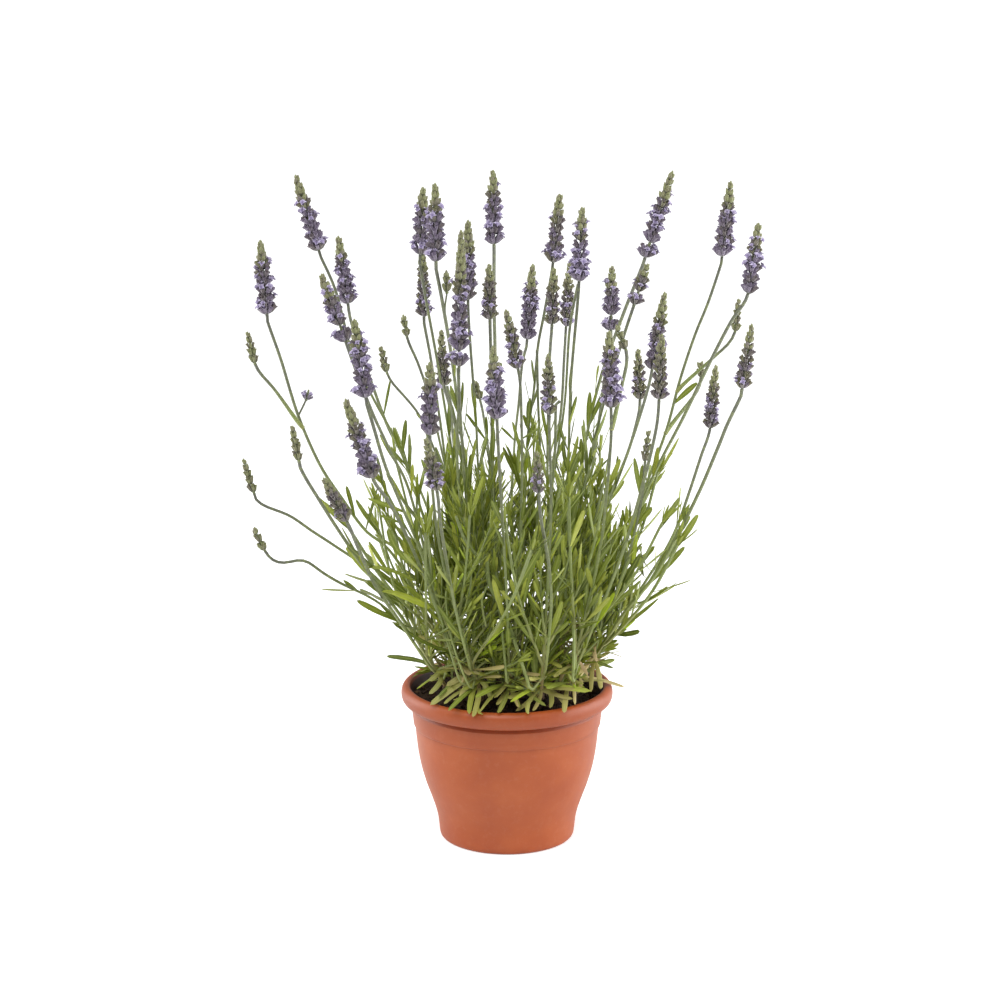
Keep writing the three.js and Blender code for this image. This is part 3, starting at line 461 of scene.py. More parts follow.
# One row for each sprig: its name, where its woody end stands, across and towards the back, its height
# over the soil, the number of its leafy shoots, and its flower stalks. A stalk has the form of its head,
# the depth of its tip behind the pot's axis, and in the front view the tip and foot of the head and the
# points that the stalk passes on its way down. The first stalk is the sprig's main stem. A parted head has
# its lowest whorl by itself, and a stalk that joins leaves the main stem at that height of the view.
SPRIG_ROWS = [
    ("left_high", (-46, -12), 26, 2, [
        (LARGE, -40, (260, 239), (267, 315),
         [(281, 360), (298, 415), (320, 465), (343, 500), (365, 530), (398, 562)]),
        (LARGE, -100, (321, 273), (346, 342),
         [(353, 362), (372, 412), (392, 455), (412, 500)], {"parted": True}),
        (BUD, -52, (247, 331), (255, 364), [(272, 386)], {"joins": 428}),
    ]),
    ("left_back", (-36, 26), 30, 2, [
        (LARGE, 70, (295, 174), (319, 251), [(336, 292), (353, 356), (373, 398), (398, 445), (418, 500)]),
        (LARGE, 150, (338, 235), (348, 304), [(352, 325), (385, 420), (400, 450), (428, 510)]),
    ]),
    ("left_low", (-58, 6), 22, 2, [
        (BUD, 24, (243, 458), (254, 493),
         [(265, 506), (290, 516), (312, 531), (335, 546), (363, 566), (400, 604)]),
        (BUD, -64, (254, 528), (265, 551), [(282, 564), (303, 559), (320, 571), (340, 583), (382, 605)]),
    ]),
    ("left_front", (-36, -40), 26, 2, [
        (LARGE, -120, (354, 318), (366, 398), [(373, 425), (385, 465), (400, 502), (424, 560)]),
        (LARGE, -160, (345, 398), (373, 479), [(382, 492), (399, 520), (428, 585)]),
    ]),
    ("left_wide", (-55, -38), 20, 2, [
        (BUD, -130, (292, 425), (299, 461), [(308, 482), (318, 498), (337, 528), (363, 566), (405, 622)]),
        (MEDIUM, -178, (323, 477), (347, 522), [(357, 545), (375, 585), (400, 622)]),
    ]),
    ("middle_left", (-20, 14), 34, 1, [
        (LARGE, 60, (423, 186), (420, 255), [(426, 300), (437, 360), (450, 440), (462, 520)]),
        (BUD, 76, (380, 346), (387, 373), [(404, 396), (424, 424), (450, 500)]),
    ]),
    ("back_left", (-22, 48), 30, 2, [
        (MEDIUM, 140, (422, 243), (424, 317), [(431, 360), (440, 420), (452, 500)]),
        (BUD, 130, (403, 315), (407, 337), [(416, 358), (430, 400), (446, 470)]),
        (MEDIUM, 184, (441, 329), (444, 386), [(449, 402), (456, 460)]),
    ]),
    ("middle_front_left", (-18, -16), 34, 1, [
        (LARGE, -20, (435, 182), (436, 262), [(442, 300), (452, 360), (462, 440), (472, 520)]),
        (LARGE, -72, (461, 229), (459, 367), [(459, 390), (462, 440), (468, 520)], {"parted": True}),
    ]),
    ("front_left", (-24, -60), 22, 2, [
        (LARGE, -132, (430, 361), (430, 436), [(431, 470), (437, 530), (450, 590)]),
        (MEDIUM, -186, (426, 437), (437, 491), [(440, 520), (448, 570), (458, 620)]),
    ]),
    ("middle", (12, -8), 34, 1, [
        (LARGE, 0, (493, 169), (494, 245), [(494, 300), (495, 380), (490, 470), (487, 540), (492, 590)]),
        (LARGE, 62, (468, 219), (468, 300), [(470, 340), (476, 420), (482, 500)]),
        (MEDIUM, -56, (489, 263), (490, 320), [(491, 360), (492, 440), (494, 520)]),
        (BUD, 120, (474, 380), (480, 400), [(484, 420), (490, 470)]),
    ]),
    ("front", (2, -56), 24, 2, [
        (MEDIUM, -120, (506, 309), (518, 369), [(521, 400), (522, 470), (520, 560), (516, 610)]),
        (LARGE, -190, (493, 345), (497, 420), [(499, 460), (503, 530), (507, 600)]),
    ]),
    ("back", (14, 44), 32, 2, [
        (LARGE, 150, (533, 263), (527, 340), [(522, 365), (519, 400), (514, 450), (512, 520)]),
        (LARGE, 84, (560, 193), (553, 263), [(543, 320), (538, 345), (534, 390), (526, 460)]),
        (MEDIUM, 190, (570, 260), (566, 327), [(564, 360), (560, 420), (545, 500)]),
    ]),
    ("middle_right", (40, -14), 30, 1, [
        (LARGE, -60, (582, 206), (579, 282),
         [(577, 310), (571, 380), (569, 440), (568, 510), (566, 570), (566, 600)]),
        (MEDIUM, 26, (554, 267), (552, 325), [(550, 350), (548, 420), (548, 500)]),
    ]),
    ("front_right", (30, -62), 22, 2, [
        (MEDIUM, -150, (548, 353), (549, 415), [(550, 450), (551, 510), (548, 580)]),
        (SMALL, -192, (537, 450), (539, 494), [(541, 520), (546, 546), (550, 575), (551, 610)]),
    ]),
    ("back_right", (40, 46), 30, 2, [
        (LARGE, 130, (612, 265), (611, 331), [(607, 360), (599, 420), (588, 490)], {"parted": True}),
        (LARGE, 120, (665, 291), (652, 370), [(646, 396), (632, 440), (610, 500)]),
        (MEDIUM, 186, (638, 348), (640, 400), [(636, 425), (627, 455), (608, 500)]),
    ]),
    ("right_front", (54, -48), 22, 2, [
        (LARGE, -130, (609, 330), (611, 408), [(611, 440), (607, 490), (598, 560)]),
        (MEDIUM, -160, (662, 333), (659, 400), [(656, 430), (644, 480), (620, 560)]),
        (BUD, -118, (616, 325), (626, 350), [(624, 376)], {"joins": 430}),
    ]),
    ("right", (48, 10), 28, 1, [
        (LARGE, 30, (673, 170), (645, 258),
         [(636, 282), (621, 320), (603, 370), (590, 420), (580, 480)], {"parted": True}),
        (MEDIUM, -60, (648, 263), (634, 305),
         [(624, 335), (606, 395), (592, 450), (580, 510)], {"parted": True}),
    ]),
    ("right_wide", (58, 24), 24, 2, [
        (LARGE, 64, (731, 180), (722, 257),
         [(708, 303), (695, 335), (680, 380), (668, 425), (655, 462), (640, 500), (618, 556)]),
        (LARGE, -20, (759, 222), (748, 294), [(733, 318), (710, 362), (683, 418), (660, 462), (640, 505)]),
        (BUD, 40, (739, 298), (735, 332), [(722, 350)], {"joins": 392}),
        (BUD, 76, (700, 362), (701, 378), [(694, 396)], {"joins": 434}),
    ]),
    ("right_low", (66, -18), 22, 2, [
        (MEDIUM, -104, (752, 323), (742, 389),
         [(727, 425), (719, 445), (700, 490), (680, 530), (655, 575), (625, 612)]),
        (MEDIUM, 40, (716, 364), (710, 429), [(703, 450), (690, 490), (672, 538), (640, 590)]),
        (BUD, -60, (649, 430), (645, 462), [(643, 490), (630, 550)]),
    ]),
]
SPRIGS = [Sprig(*row, [Stalk(*stalk) for stalk in stalks]) for *row, stalks in SPRIG_ROWS]

AHEAD = unit(AIM - EYE)
RIGHT = np.array([1.0, 0, 0])
UP = np.cross(RIGHT, AHEAD)


def seen(place, depth):
    """The point at a depth that the front view shows at a place of its frame: the ray from the eye
    through that place, followed until it has gone that far back."""
    ray = FOCAL * AHEAD + (place[0] - MIDDLE) * RIGHT + (MIDDLE - place[1]) * UP
    return EYE + ray * (depth - EYE[1]) / ray[1]


def places_in_view(points):
    """Where the front view shows points: the share of their distance ahead that they lie right or up."""
    rays = points - EYE
    ahead = rays @ AHEAD
    return np.stack([MIDDLE + FOCAL * rays @ RIGHT / ahead, MIDDLE - FOCAL * rays @ UP / ahead], -1)


def down_of(point):
    """How far down the front view shows a point."""
    ray = point - EYE
    return MIDDLE - FOCAL * ray @ UP / (ray @ AHEAD)


class Line:
    """A smooth line through points, measured by its length: 200 short steps give the length at each mark,
    which is the share of the points passed."""

    def __init__(self, points):
        self.points = np.array(points, float)
        self.marks = np.linspace(0, 1, 201)
        steps = np.linalg.norm(np.diff(self.at_marks(self.marks), axis=0), axis=1)
        self.lengths = np.concatenate([[0], np.cumsum(steps)])
        self.length = self.lengths[-1]

    def at_marks(self, marks):
        """Places at marks."""
        return spline(self.points, np.asarray(marks) * (len(self.points) - 1))

    def marks_of(self, share):
        """The marks that stand at shares of the length."""
        return np.interp(np.atleast_1d(share) * self.length, self.lengths, self.marks)

    def at(self, share):
        """Places at shares of the length."""
        return self.at_marks(self.marks_of(share))

    def heading(self, share):
        """Directions at shares of the length, from a very short step either way."""
        marks = self.marks_of(share)
        return unit(self.at_marks(np.minimum(marks + 1e-4, 1)) - self.at_marks(np.maximum(marks - 1e-4, 0)))


def root_of(sprig):
    """The woody end on which a sprig starts."""
    return np.array([*sprig.root, SOIL_TOP + sprig.high], float)


def stalk_points(stalk, lower):
    """The points of a stalk from a lower end up to its head's foot. The depth goes from the lower end's
    to the stalk's own with the share of the height passed to the power 0.9."""
    _, depth, tip, foot, route, _ = stalk
    bottom = down_of(lower)
    above = [place for place in route if place[1] < bottom - 12][::-1]
    shares = [min(max((bottom - down) / (bottom - foot[1]), 0), 1) for _, down in above]
    rise = [seen(place, lower[1] + (depth - lower[1]) * share**0.9) for place, share in zip(above, shares)]
    base = seen(foot, depth)
    return [*rise, base - NECK * unit(seen(tip, depth) - base), base]


def tube(path, radius, corners, squareness=2.0, side=(0.6, 0.8, 0.0)):
    """Rings round a path, closed at both ends. A corner at an angle a stands at the radius divided by
    the root of that order of |cos a| and |sin a| raised to it and summed: order 2 is round, and a
    higher one is squarer. The first direction is the side vector, cleared of the path's own."""
    path = np.asarray(path, float)
    along = unit(np.gradient(path, axis=0))
    side = np.asarray(side) - along * (along @ np.asarray(side))[:, None]
    side = unit(side)
    over = np.cross(along, side)
    angles = np.arange(corners) * TURN / corners
    bulge = (np.abs(np.cos(angles)) ** squareness + np.abs(np.sin(angles)) ** squareness) ** (-1 / squareness)
    reach = np.asarray(radius)
    reach = reach[:, None] * bulge if reach.ndim == 1 else reach
    spokes = side[:, None] * np.cos(angles)[:, None] + over[:, None] * np.sin(angles)[:, None]
    rings = path[:, None] + spokes * reach[..., None]
    count = len(path) * corners
    faces = np.vstack([
        ring_faces(len(path), corners),
        fan_faces(0, corners, count, False),
        fan_faces(count - corners, corners, count + 1, True),
    ])
    return {"points": np.vstack([rings.reshape(-1, 3), path[[0, -1]]]), "faces": faces}


# Old lavender wood: dry grey-brown bark in long loose strips over a redder layer.
old_bark, shader, place = new_material("peeling lavender bark", 0.88)
drawn_out = add(old_bark, "Mapping", {"Scale": (1, 1, 0.22)}, {"Vector": place})
strips, wood_colour = clouds(
    old_bark, (drawn_out, "Vector"), 2.2, 5.0, 0.6,
    [(0.28, "#2E2218"), (0.48, "#5B4732"), (0.62, "#84705A"), (0.8, "#A8977E")],
)
wood_bump = add(old_bark, "Bump", {"Strength": 0.9, "Distance": 0.5 * MM}, {"Height": (strips, "Fac")})
join(shader, {"Base Color": (wood_colour, "Color"), "Normal": (wood_bump, "Normal")})

LIMB_STEPS = 26
LIMB_CORNERS = 12
LIMB_RADII = (3.5, 2.3)
mains = [Line([root_of(sprig), *stalk_points(sprig.stalks[0], root_of(sprig))]) for sprig in SPRIGS]
limb_lines = []
for main in mains:
    end = main.at(0)[0]
    along = main.heading(0)[0]
    rise = np.array([end[0] * 0.55, end[1] * 0.55, SOIL_TOP + 8 + (end[2] - SOIL_TOP) * 0.2])
    limb_lines.append(Line([[0, 0, SOIL_TOP + 3.5], rise, end - 7 * along, end - 0.3 * along]))


def ridged(length, steps, thick, thin):
    """Radii of a woody limb: it tapers evenly, and lengthwise ridges and knuckles roughen it."""
    share = np.linspace(0, 1, steps)[:, None]
    angle = np.arange(LIMB_CORNERS)[None] * TURN / LIMB_CORNERS
    ridges = 0.16 * lumps(angle * 6 + length, share * length / 9, 1.7)
    knuckles = 0.10 * lumps(share * length / 7 + length, 0 * angle, 1.0)
    return (thick + (thin - thick) * share) * (1 + ridges + knuckles)


shares = np.linspace(0, 1, LIMB_STEPS)
limbs = [
    tube(line.at(shares), ridged(line.length, LIMB_STEPS, *LIMB_RADII), LIMB_CORNERS) for line in limb_lines
]
# The stock goes 30 mm down into the soil and 10 mm up out of it, and is about twice as thick as a limb.
stock_path = np.stack([0 * shares, 0 * shares, SOIL_TOP - 30 + 40 * shares], -1)
limbs.append(tube(stock_path, 2.1 * ridged(31, LIMB_STEPS, 3.3, 3.0), LIMB_CORNERS, side=(1, 0, 0)))
crown = new_piece("woody_crown", gather(limbs), [old_bark], 60)
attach(crown, "root")
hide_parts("crown")


# Sprigs
# Each sprig is one green shoot system on its limb: a square main stem, side stalks and leafy shoots that
# leave it at the axils, and narrow leaves in crossed pairs. All of it is soft tissue under fine grey down.

# Half widths of a stem's square section, and the length of the part of a stem that a pair of leaves or
# a fork takes up.
STEM = {"base": 1.5, "fork": 1.15, "top": 0.85, "step": 50}
SOCKET = 2.8
# Forks of a main stem: how far up the first is and the next ones are apart, how near another fork may
# use the same face, and how far the leaves keep away.
FORKS = {"first": 16, "apart": 11, "reuse": 30, "bare": 8}
LEAF = {"long": 45, "wide": 5.2, "widest": 0.52}
# Room kept between leaves, the height of the rim, and the direction of one side of every main stem.
GAP = 0.3
POT_HEIGHT = 142
MAIN_ACROSS = np.array([0.6, 0.8, 0])
# Pairs of leaves on each kind of stem: how far up they start, how many there are and how far they lean.
MAIN_PAIRS = {"start": 68, "count": 3, "lean": 30}
SIDE_PAIRS = {"start": 46, "count": 2, "lean": 28}
LOWEST_PAIR = {"start": 7, "end": 7, "count": 1, "lean": 40}
SHOOT_PAIR_APART = 43
# How far the tip of a drooping leaf bends down, as a share of its length. The others bend up a fifth of that.
CURVE = 0.14
# Ways to bend a leaf clear: degrees away from the stem, share of its length and a sideways sweep.
LEAF_TRIALS = [
    (turn, share, sweep) for sweep in (0, 0.3, -0.3, 0.6, -0.6)
    for turn, share in ((0, 1), (-8, 1), (10, 1), (-4, 0.75), (20, 0.75))
]

seed = 20271


def draw(low, high):
    """The next repeatable number between two others: the seed times 1664525 plus 1013904223, of which
    the last 32 bits are kept."""
    global seed
    seed = (seed * 1664525 + 1013904223) & 0xFFFFFFFF
    return low + (high - low) * seed / 4294967296


def rounded(value):
    """The nearest whole number, halves upwards."""
    return math.floor(value + 0.5)


class Taken:
    """Thick straight lines that already hold something, so that what grows later keeps clear."""

    def __init__(self, room):
        self.lines = np.zeros((room, 7))
        self.owners = np.zeros(room, int)
        self.names = {}
        self.count = 0

    def take(self, start, end, radius, owner):
        """Holds one straight line for its owner."""
        self.lines[self.count] = [*start, *end, radius]
        self.owners[self.count] = self.names.setdefault(owner, len(self.names))
        self.count += 1

    def take_line(self, line, radius, owner):
        """Holds a curved line as straight ones of 16 mm at most."""
        points = line.at(np.linspace(0, 1, math.ceil(line.length / 16) + 1))
        for start, end in zip(points[:-1], points[1:]):
            self.take(start, end, radius, owner)

    def is_free(self, start, end, radius, own):
        """True where no line of another owner comes nearer than both radii: the nearest points of two
        straight lines, each held between its ends."""
        lines = self.lines[:self.count]
        others = self.owners[:self.count] != self.names.get(own, -1)
        u = end - start
        v = lines[:, 3:6] - lines[:, :3]
        w = start - lines[:, :3]
        uu = u @ u
        vv = np.sum(v * v, -1)
        uv = v @ u
        vw = np.sum(v * w, -1)
        spread = uu * vv - uv * uv
        s = np.where(spread > 1e-9, (uv * vw - vv * (w @ u)) / np.maximum(spread, 1e-9), 0)
        t = np.clip((uv * np.clip(s, 0, 1) + vw) / vv, 0, 1)
        s = np.clip((uv * t - w @ u) / uu, 0, 1)
        apart = np.linalg.norm(w + s[:, None] * u - t[:, None] * v, axis=-1)
        return not np.any(others & (apart <= radius + lines[:, 6]))


taken = Taken(24000)


def stations(line, lengths, across):
    """Places along a stem with their own directions, carried from one to the next without twist: along
    the stem, across it, and over, which is crossed with both."""
    places = []
    side = across
    for length in lengths:
        share = min(max(length / line.length, 0), 1)
        along = line.heading(share)[0]
        side = side - along * (side @ along)
        side = side / np.linalg.norm(side)
        places.append((line.at(share)[0], along, side, np.cross(along, side)))
    return places


def draw_leaf(scale, lean, droop):
    """The drawn sizes of one leaf."""
    long = LEAF["long"] * scale * draw(0.78, 1.18)
    wide = LEAF["wide"] * draw(0.82, 1.12)
    return {"long": long, "wide": wide, "lean": lean + draw(-7, 9), "droop": droop}


def draw_pairs(start, end, count, lean):
    """Pairs of leaves up a stem from one length to another, smaller and steeper towards the top."""
    pairs = []
    for k in range(count):
        share = k / (count - 1) if count > 1 else 0
        droop = k == 0 and lean > 30
        spread = lean + 32 if droop else lean * (1 - 0.3 * share)
        scale = 1 - 0.22 * share
        length = start + (end - start) * share + draw(-2, 2)
        leaves = [draw_leaf(scale, spread, droop), draw_leaf(scale, spread, droop)]
        pairs.append({"length": length, "leaves": leaves})
    return pairs


def try_leaf(patch, along, outward, leaf, owner, found):
    """Bends a leaf aside or shortens it until it hits nothing, and leaves it out if nothing helps. It
    must end over the soil, and inside the rim or above it."""
    start = patch.mean(0)
    aside = np.cross(along, outward)
    for turn, share, sweep in LEAF_TRIALS:
        lean = math.radians(leaf["lean"] + turn)
        reach = unit(along * math.cos(lean) + outward * math.sin(lean) + aside * sweep * math.sin(lean))
        long = leaf["long"] * share
        bend = np.array([0, 0, -1 if leaf["droop"] else 0.2])
        middle = start + reach * long * LEAF["widest"]
        tip = start + reach * long + bend * long * CURVE
        half = leaf["wide"] / 2
        over_pot = tip[2] > SOIL_TOP + 7 and (tip[2] > POT_HEIGHT + 4 or math.hypot(tip[0], tip[1]) < 78)
        clear = over_pot and taken.is_free(start + reach * long * 0.08, middle, half + GAP, owner)
        if clear and taken.is_free(middle, tip, half * 0.8 + GAP, owner):
            name = f"{owner}_leaf_{taken.count}"
            taken.take(start + reach * long * 0.08, middle, half, name)
            taken.take(middle, tip, half * 0.8, name)
            found.append({
                "start": start - 0.8 * outward, "reach": reach, "top": along, "long": long,
                "wide": leaf["wide"], "bend": bend * CURVE,
            })
            return


def grow_stem(line, across, pairs, forks, owner, half_width, found):
    """Walks up a stem past its pairs of leaves and its forks, and notes the leaves that find room."""
    openings = sorted([*pairs, *forks], key=lambda opening: opening["length"])
    lengths = [0]
    opened = {}

    def stretch(end):
        """Adds even steps up to a length."""
        start = lengths[-1]
        steps = max(1, rounded((end - start) / STEM["step"]))
        lengths.extend(start + (end - start) * k / steps for k in range(1, steps + 1))

    for opening in openings:
        stretch(opening["length"] - SOCKET / 2)
        lengths.append(opening["length"] + SOCKET / 2)
        opened[len(lengths) - 1] = opening
    stretch(line.length)
    places = stations(line, lengths, across)
    rings = []
    for (at, _, side, over), length in zip(places, lengths):
        half = half_width(min(max(length / line.length, 0), 1))
        rings.append(np.array([
            at - half * side - half * over, at + half * side - half * over,
            at + half * side + half * over, at - half * side + half * over,
        ]))
    quarter = 0
    for i, opening in sorted(opened.items()):
        _, along, side, over = places[i]
        outwards = [-over, side, over, -side]
        patches = [
            np.array([rings[i - 1][k], rings[i - 1][(k + 1) % 4], rings[i][(k + 1) % 4], rings[i][k]])
            for k in range(4)
        ]
        if "leaves" in opening:
            quarter += 1
            for k in range(4):
                if k % 2 == quarter % 2:
                    try_leaf(patches[k], along, outwards[k], opening["leaves"][k // 2], owner, found)
        else:
            turned_to = [out @ opening["heading"] for out in outwards]
            opening["grow"](patches[turned_to.index(max(turned_to))])


def slender(share):
    """Half the width of a main stem, which tapers evenly over five eighths of its length."""
    return STEM["base"] + (STEM["top"] - STEM["base"]) * min(1, share * 1.6)


def side_slender(share):
    """Half the width of a side stem, which tapers evenly over the half of its length."""
    return STEM["fork"] + (STEM["top"] - STEM["fork"]) * min(1, share * 2)


def choose_face(line, length, wish, forks):
    """The face of a stem that looks most nearly towards where a fork goes, and that has no other fork
    close above or below."""
    _, _, across, over = stations(line, [0, length / 3, length * 2 / 3, length], MAIN_ACROSS)[-1]
    near = [fork["heading"] for fork in forks if abs(fork["length"] - length) < FORKS["reuse"]]
    faces = [-over, across, over, -across]
    open_faces = [face for face in faces if all(heading @ face < 0.7 for heading in near)]
    return max(open_faces, key=lambda face: face @ wish)


def away_of(sprig):
    """The angle round the pot's axis at which a sprig stands."""
    root = root_of(sprig)
    return math.atan2(root[1], root[0])


def level(turn):
    """The level direction at an angle round the pot."""
    return np.array([math.cos(turn), math.sin(turn), 0])


def leave_point(start, along, heading):
    """Where a side stem has left its parent: a little out and up from the fork."""
    return start + heading * 3.4 + along * 7


def length_at_down(line, down):
    """Where on a line the front view shows a height, by halving thirty times."""
    low, high = 0, 1
    for _ in range(30):
        middle = (low + high) / 2
        if down_of(line.at(middle)[0]) > down:
            low = middle
        else:
            high = middle
    return low * line.length


def side_stalks(sprig, main):
    """The side stalks of a sprig: where each forks from the main stem, on which face, and its line."""
    forks = []
    for k, stalk in enumerate(sprig.stalks[1:]):
        joins = stalk.extras.get("joins")
        length = length_at_down(main, joins) if joins else FORKS["first"] + FORKS["apart"] * k
        start = main.at(length / main.length)[0]
        points = stalk_points(stalk, start)
        heading = choose_face(main, length, points[0] - start, forks)
        leave = leave_point(start, main.heading(length / main.length)[0], heading)
        forks.append({
            "stalk": stalk, "length": length, "heading": heading, "start": start,
            "line": Line([leave, *points]),
        })
    return forks


SHOOT_TRIALS = 12


def draw_shoots(sprig, main, sides):
    """Leafy shoots without flowers, turned about until they stand clear of every other stem."""
    away = away_of(sprig)
    forks = list(sides)
    for k in range(sprig.shoots):
        length = FORKS["first"] + FORKS["apart"] * (len(sides) + k)
        start = main.at(length / main.length)[0]
        along = main.heading(length / main.length)[0]
        long = draw(95, 165)
        for trial in range(SHOOT_TRIALS):
            turn = away + (k - (sprig.shoots - 1) / 2) * 1.6 + draw(-0.5, 0.5) + trial * 0.3
            lean = math.radians(draw(12, 40))
            out = level(turn)
            heading = choose_face(main, length, out, forks)
            leave = leave_point(start, along, heading)
            end = leave + out * long * math.sin(lean) + np.array([0, 0, long * math.cos(lean)])
            line = Line([leave, (leave + end) / 2 + out * long * 0.06, end])
            points = line.at(np.linspace(0, 1, 10))
            clear = heading @ out > 0.25 and taken.is_free(start, leave, 2, sprig.name)
            clear = clear and all(
                taken.is_free(points[j], points[j + 1], 2.6, sprig.name if j < 1 else "") for j in range(9)
            )
            if clear:
                forks.append({
                    "length": length, "heading": heading, "start": start, "line": line, "long": long,
                })
                taken.take_line(line, 1.6, f"{sprig.name}_shoot_{k}")
                taken.take(start, leave, 1.6, f"{sprig.name}_shoot_{k}")
                break
    return forks[len(sides):]


for line in limb_lines:
    taken.take_line(line, 3.6, "crown")
side_sets = [side_stalks(sprig, main) for sprig, main in zip(SPRIGS, mains)]
for sprig, main, sides in zip(SPRIGS, mains, side_sets):
    taken.take_line(main, 1.7, sprig.name)
    for j, fork in enumerate(sides):
        taken.take_line(fork["line"], 1.4, f"{sprig.name}_side_{j}")
        taken.take(fork["start"], fork["line"].at(0)[0], 1.6, f"{sprig.name}_side_{j}")
    for stalk in sprig.stalks:
        base, top = seen(stalk.foot, stalk.depth), seen(stalk.tip, stalk.depth)
        taken.take(base, top, stalk.form["reach"] + 0.5, "head")
shoot_sets = [draw_shoots(sprig, main, sides) for sprig, main, sides in zip(SPRIGS, mains, side_sets)]


def leafy_length(line):
    """Length of the leafy part of a flower stalk: it ends well below the head."""
    return min(170, line.length * 0.5)


def grow_sprig(index):
    """The leaves of a sprig, in the order in which its stems fork."""
    sprig = SPRIGS[index]
    main = mains[index]
    found = []

    def branch(fork, pairs, owner):
        """A fork that grows its own leaves when the walk up the main stem comes to it."""
        def grow(patch):
            across = unit(patch[1] - patch[0])
            grow_stem(fork["line"], across, pairs, [], owner, side_slender, found)
        return {"length": fork["length"], "heading": fork["heading"], "grow": grow}

    forks = []
    for k, fork in enumerate(side_sets[index]):
        joins = "joins" in fork["stalk"].extras
        pairs = [] if joins else draw_pairs(end=leafy_length(fork["line"]), **SIDE_PAIRS)
        forks.append(branch(fork, pairs, f"{sprig.name}_side_{k}"))
    for k, fork in enumerate(shoot_sets[index]):
        pairs = draw_pairs(24, fork["line"].length - 5, rounded(fork["long"] / SHOOT_PAIR_APART), 30)
        forks.append(branch(fork, pairs, f"{sprig.name}_shoot_{k}"))
    pairs = [*draw_pairs(**LOWEST_PAIR), *draw_pairs(end=leafy_length(main), **MAIN_PAIRS)]
    pairs = [p for p in pairs if all(abs(f["length"] - p["length"]) > FORKS["bare"] for f in forks)]
    grow_stem(main, MAIN_ACROSS, pairs, forks, sprig.name, slender, found)
    return found


leaf_sets = [grow_sprig(index) for index in range(len(SPRIGS))]

# Leaves that fill the bush between the ones above: they follow the same pairs on shorter gaps, with
# tufts of small young leaves in the axils, and on sprouts of their own near the base.
# For each kind of stem: the gap between pairs, the size as a share of a full leaf, the lean away from the
# stem, the tone, and whether there are tufts.
FILL = {
    "low": {"apart": 12, "size": 0.85, "lean": 42, "fresh": 0.42},
    "main": {"apart": 18, "size": 0.85, "lean": 21, "fresh": 0.38},
    "main_high": {"apart": 21, "size": 0.8, "lean": 13, "fresh": 0.28, "tufts": False},
    "side": {"apart": 18, "size": 0.85, "lean": 22, "fresh": 0.38},
    "side_high": {"apart": 21, "size": 0.75, "lean": 13, "fresh": 0.28, "tufts": False},
    "shoot": {"apart": 12, "size": 0.95, "lean": 24, "fresh": 0.42},
    "sprout": {"apart": 10, "size": 0.8, "lean": 30, "fresh": 0.45},
}
SPROUTS = {"count": 8, "low": 4, "high": 92, "short": 40, "long": 112, "basal": 5, "trials": 14}
TUFT = {"leaves": 2, "short": 10, "long": 24, "fresher": 0.12}
# Leaves at the end of a shoot, which follow each other by the golden angle, in radians.
YOUNG = {"leaves": 6, "turn": 2.4}
# Long leaves round the foot of a sprig: how many, how far up its stem, their sizes, how far they lean and
# their tone.
SKIRT = {"leaves": 18, "high": 34, "short": 26, "long": 47, "least": 52, "most": 96, "fresh": 0.62}
# The bush is a rounded mass: how far its leaves reach from its middle line at each height.
BUSH_MIDDLE = 14
BUSH_HEIGHTS = [120, 150, 175, 215, 262, 330, 390, 450, 540]
BUSH_REACHES = [84, 90, 98, 110, 114, 102, 92, 78, 56]
# Its bare heart: how far inside that edge it starts, its heights, and the share of leaves left out there.
HEART = {"inside": 52, "low": 165, "high": 310, "bare": 0.7}
# The rim's two sides, and how low a leaf may hang beside it.
RIM = {"inside": 82, "outside": 98, "hang": 118}
growth = np.random.default_rng(41)


def note_leaf(found, start, reach, top, long, wide, bend, tone, dry=0.0, blunt=0.2):
    """Adds a leaf: its foot, the way it reaches, its upper side, sizes, bend and looks."""
    found.append({
        "start": start, "reach": unit(reach), "top": top, "long": long, "wide": wide, "bend": bend,
        "tone": tone, "dry": dry, "blunt": blunt,
    })


def in_bush(point):
    """Whether a leaf may end at a point: mostly in the outer part of the bush, as its heart is bare and
    dark, and seldom beyond its edge."""
    reach = math.hypot(point[0] - BUSH_MIDDLE, point[1])
    room = np.interp(point[2], BUSH_HEIGHTS, BUSH_REACHES) - reach
    in_heart = room > HEART["inside"] and HEART["low"] < point[2] < HEART["high"]
    bare = in_heart and growth.uniform(0, 1) < HEART["bare"]
    return room > growth.uniform(-12, 22) and not bare


def clear_of_pot(points):
    """Whether points of a leaf keep above the soil and the rim. Outside the rim they may hang lower."""
    reach = np.hypot(points[:, 0], points[:, 1])
    over_rim = (reach > RIM["inside"]) & (reach < RIM["outside"])
    inside = np.where(over_rim, POT_HEIGHT + 1.5, SOIL_TOP + 3)
    return np.all(points[:, 2] > np.where(reach > RIM["outside"], RIM["hang"], inside))


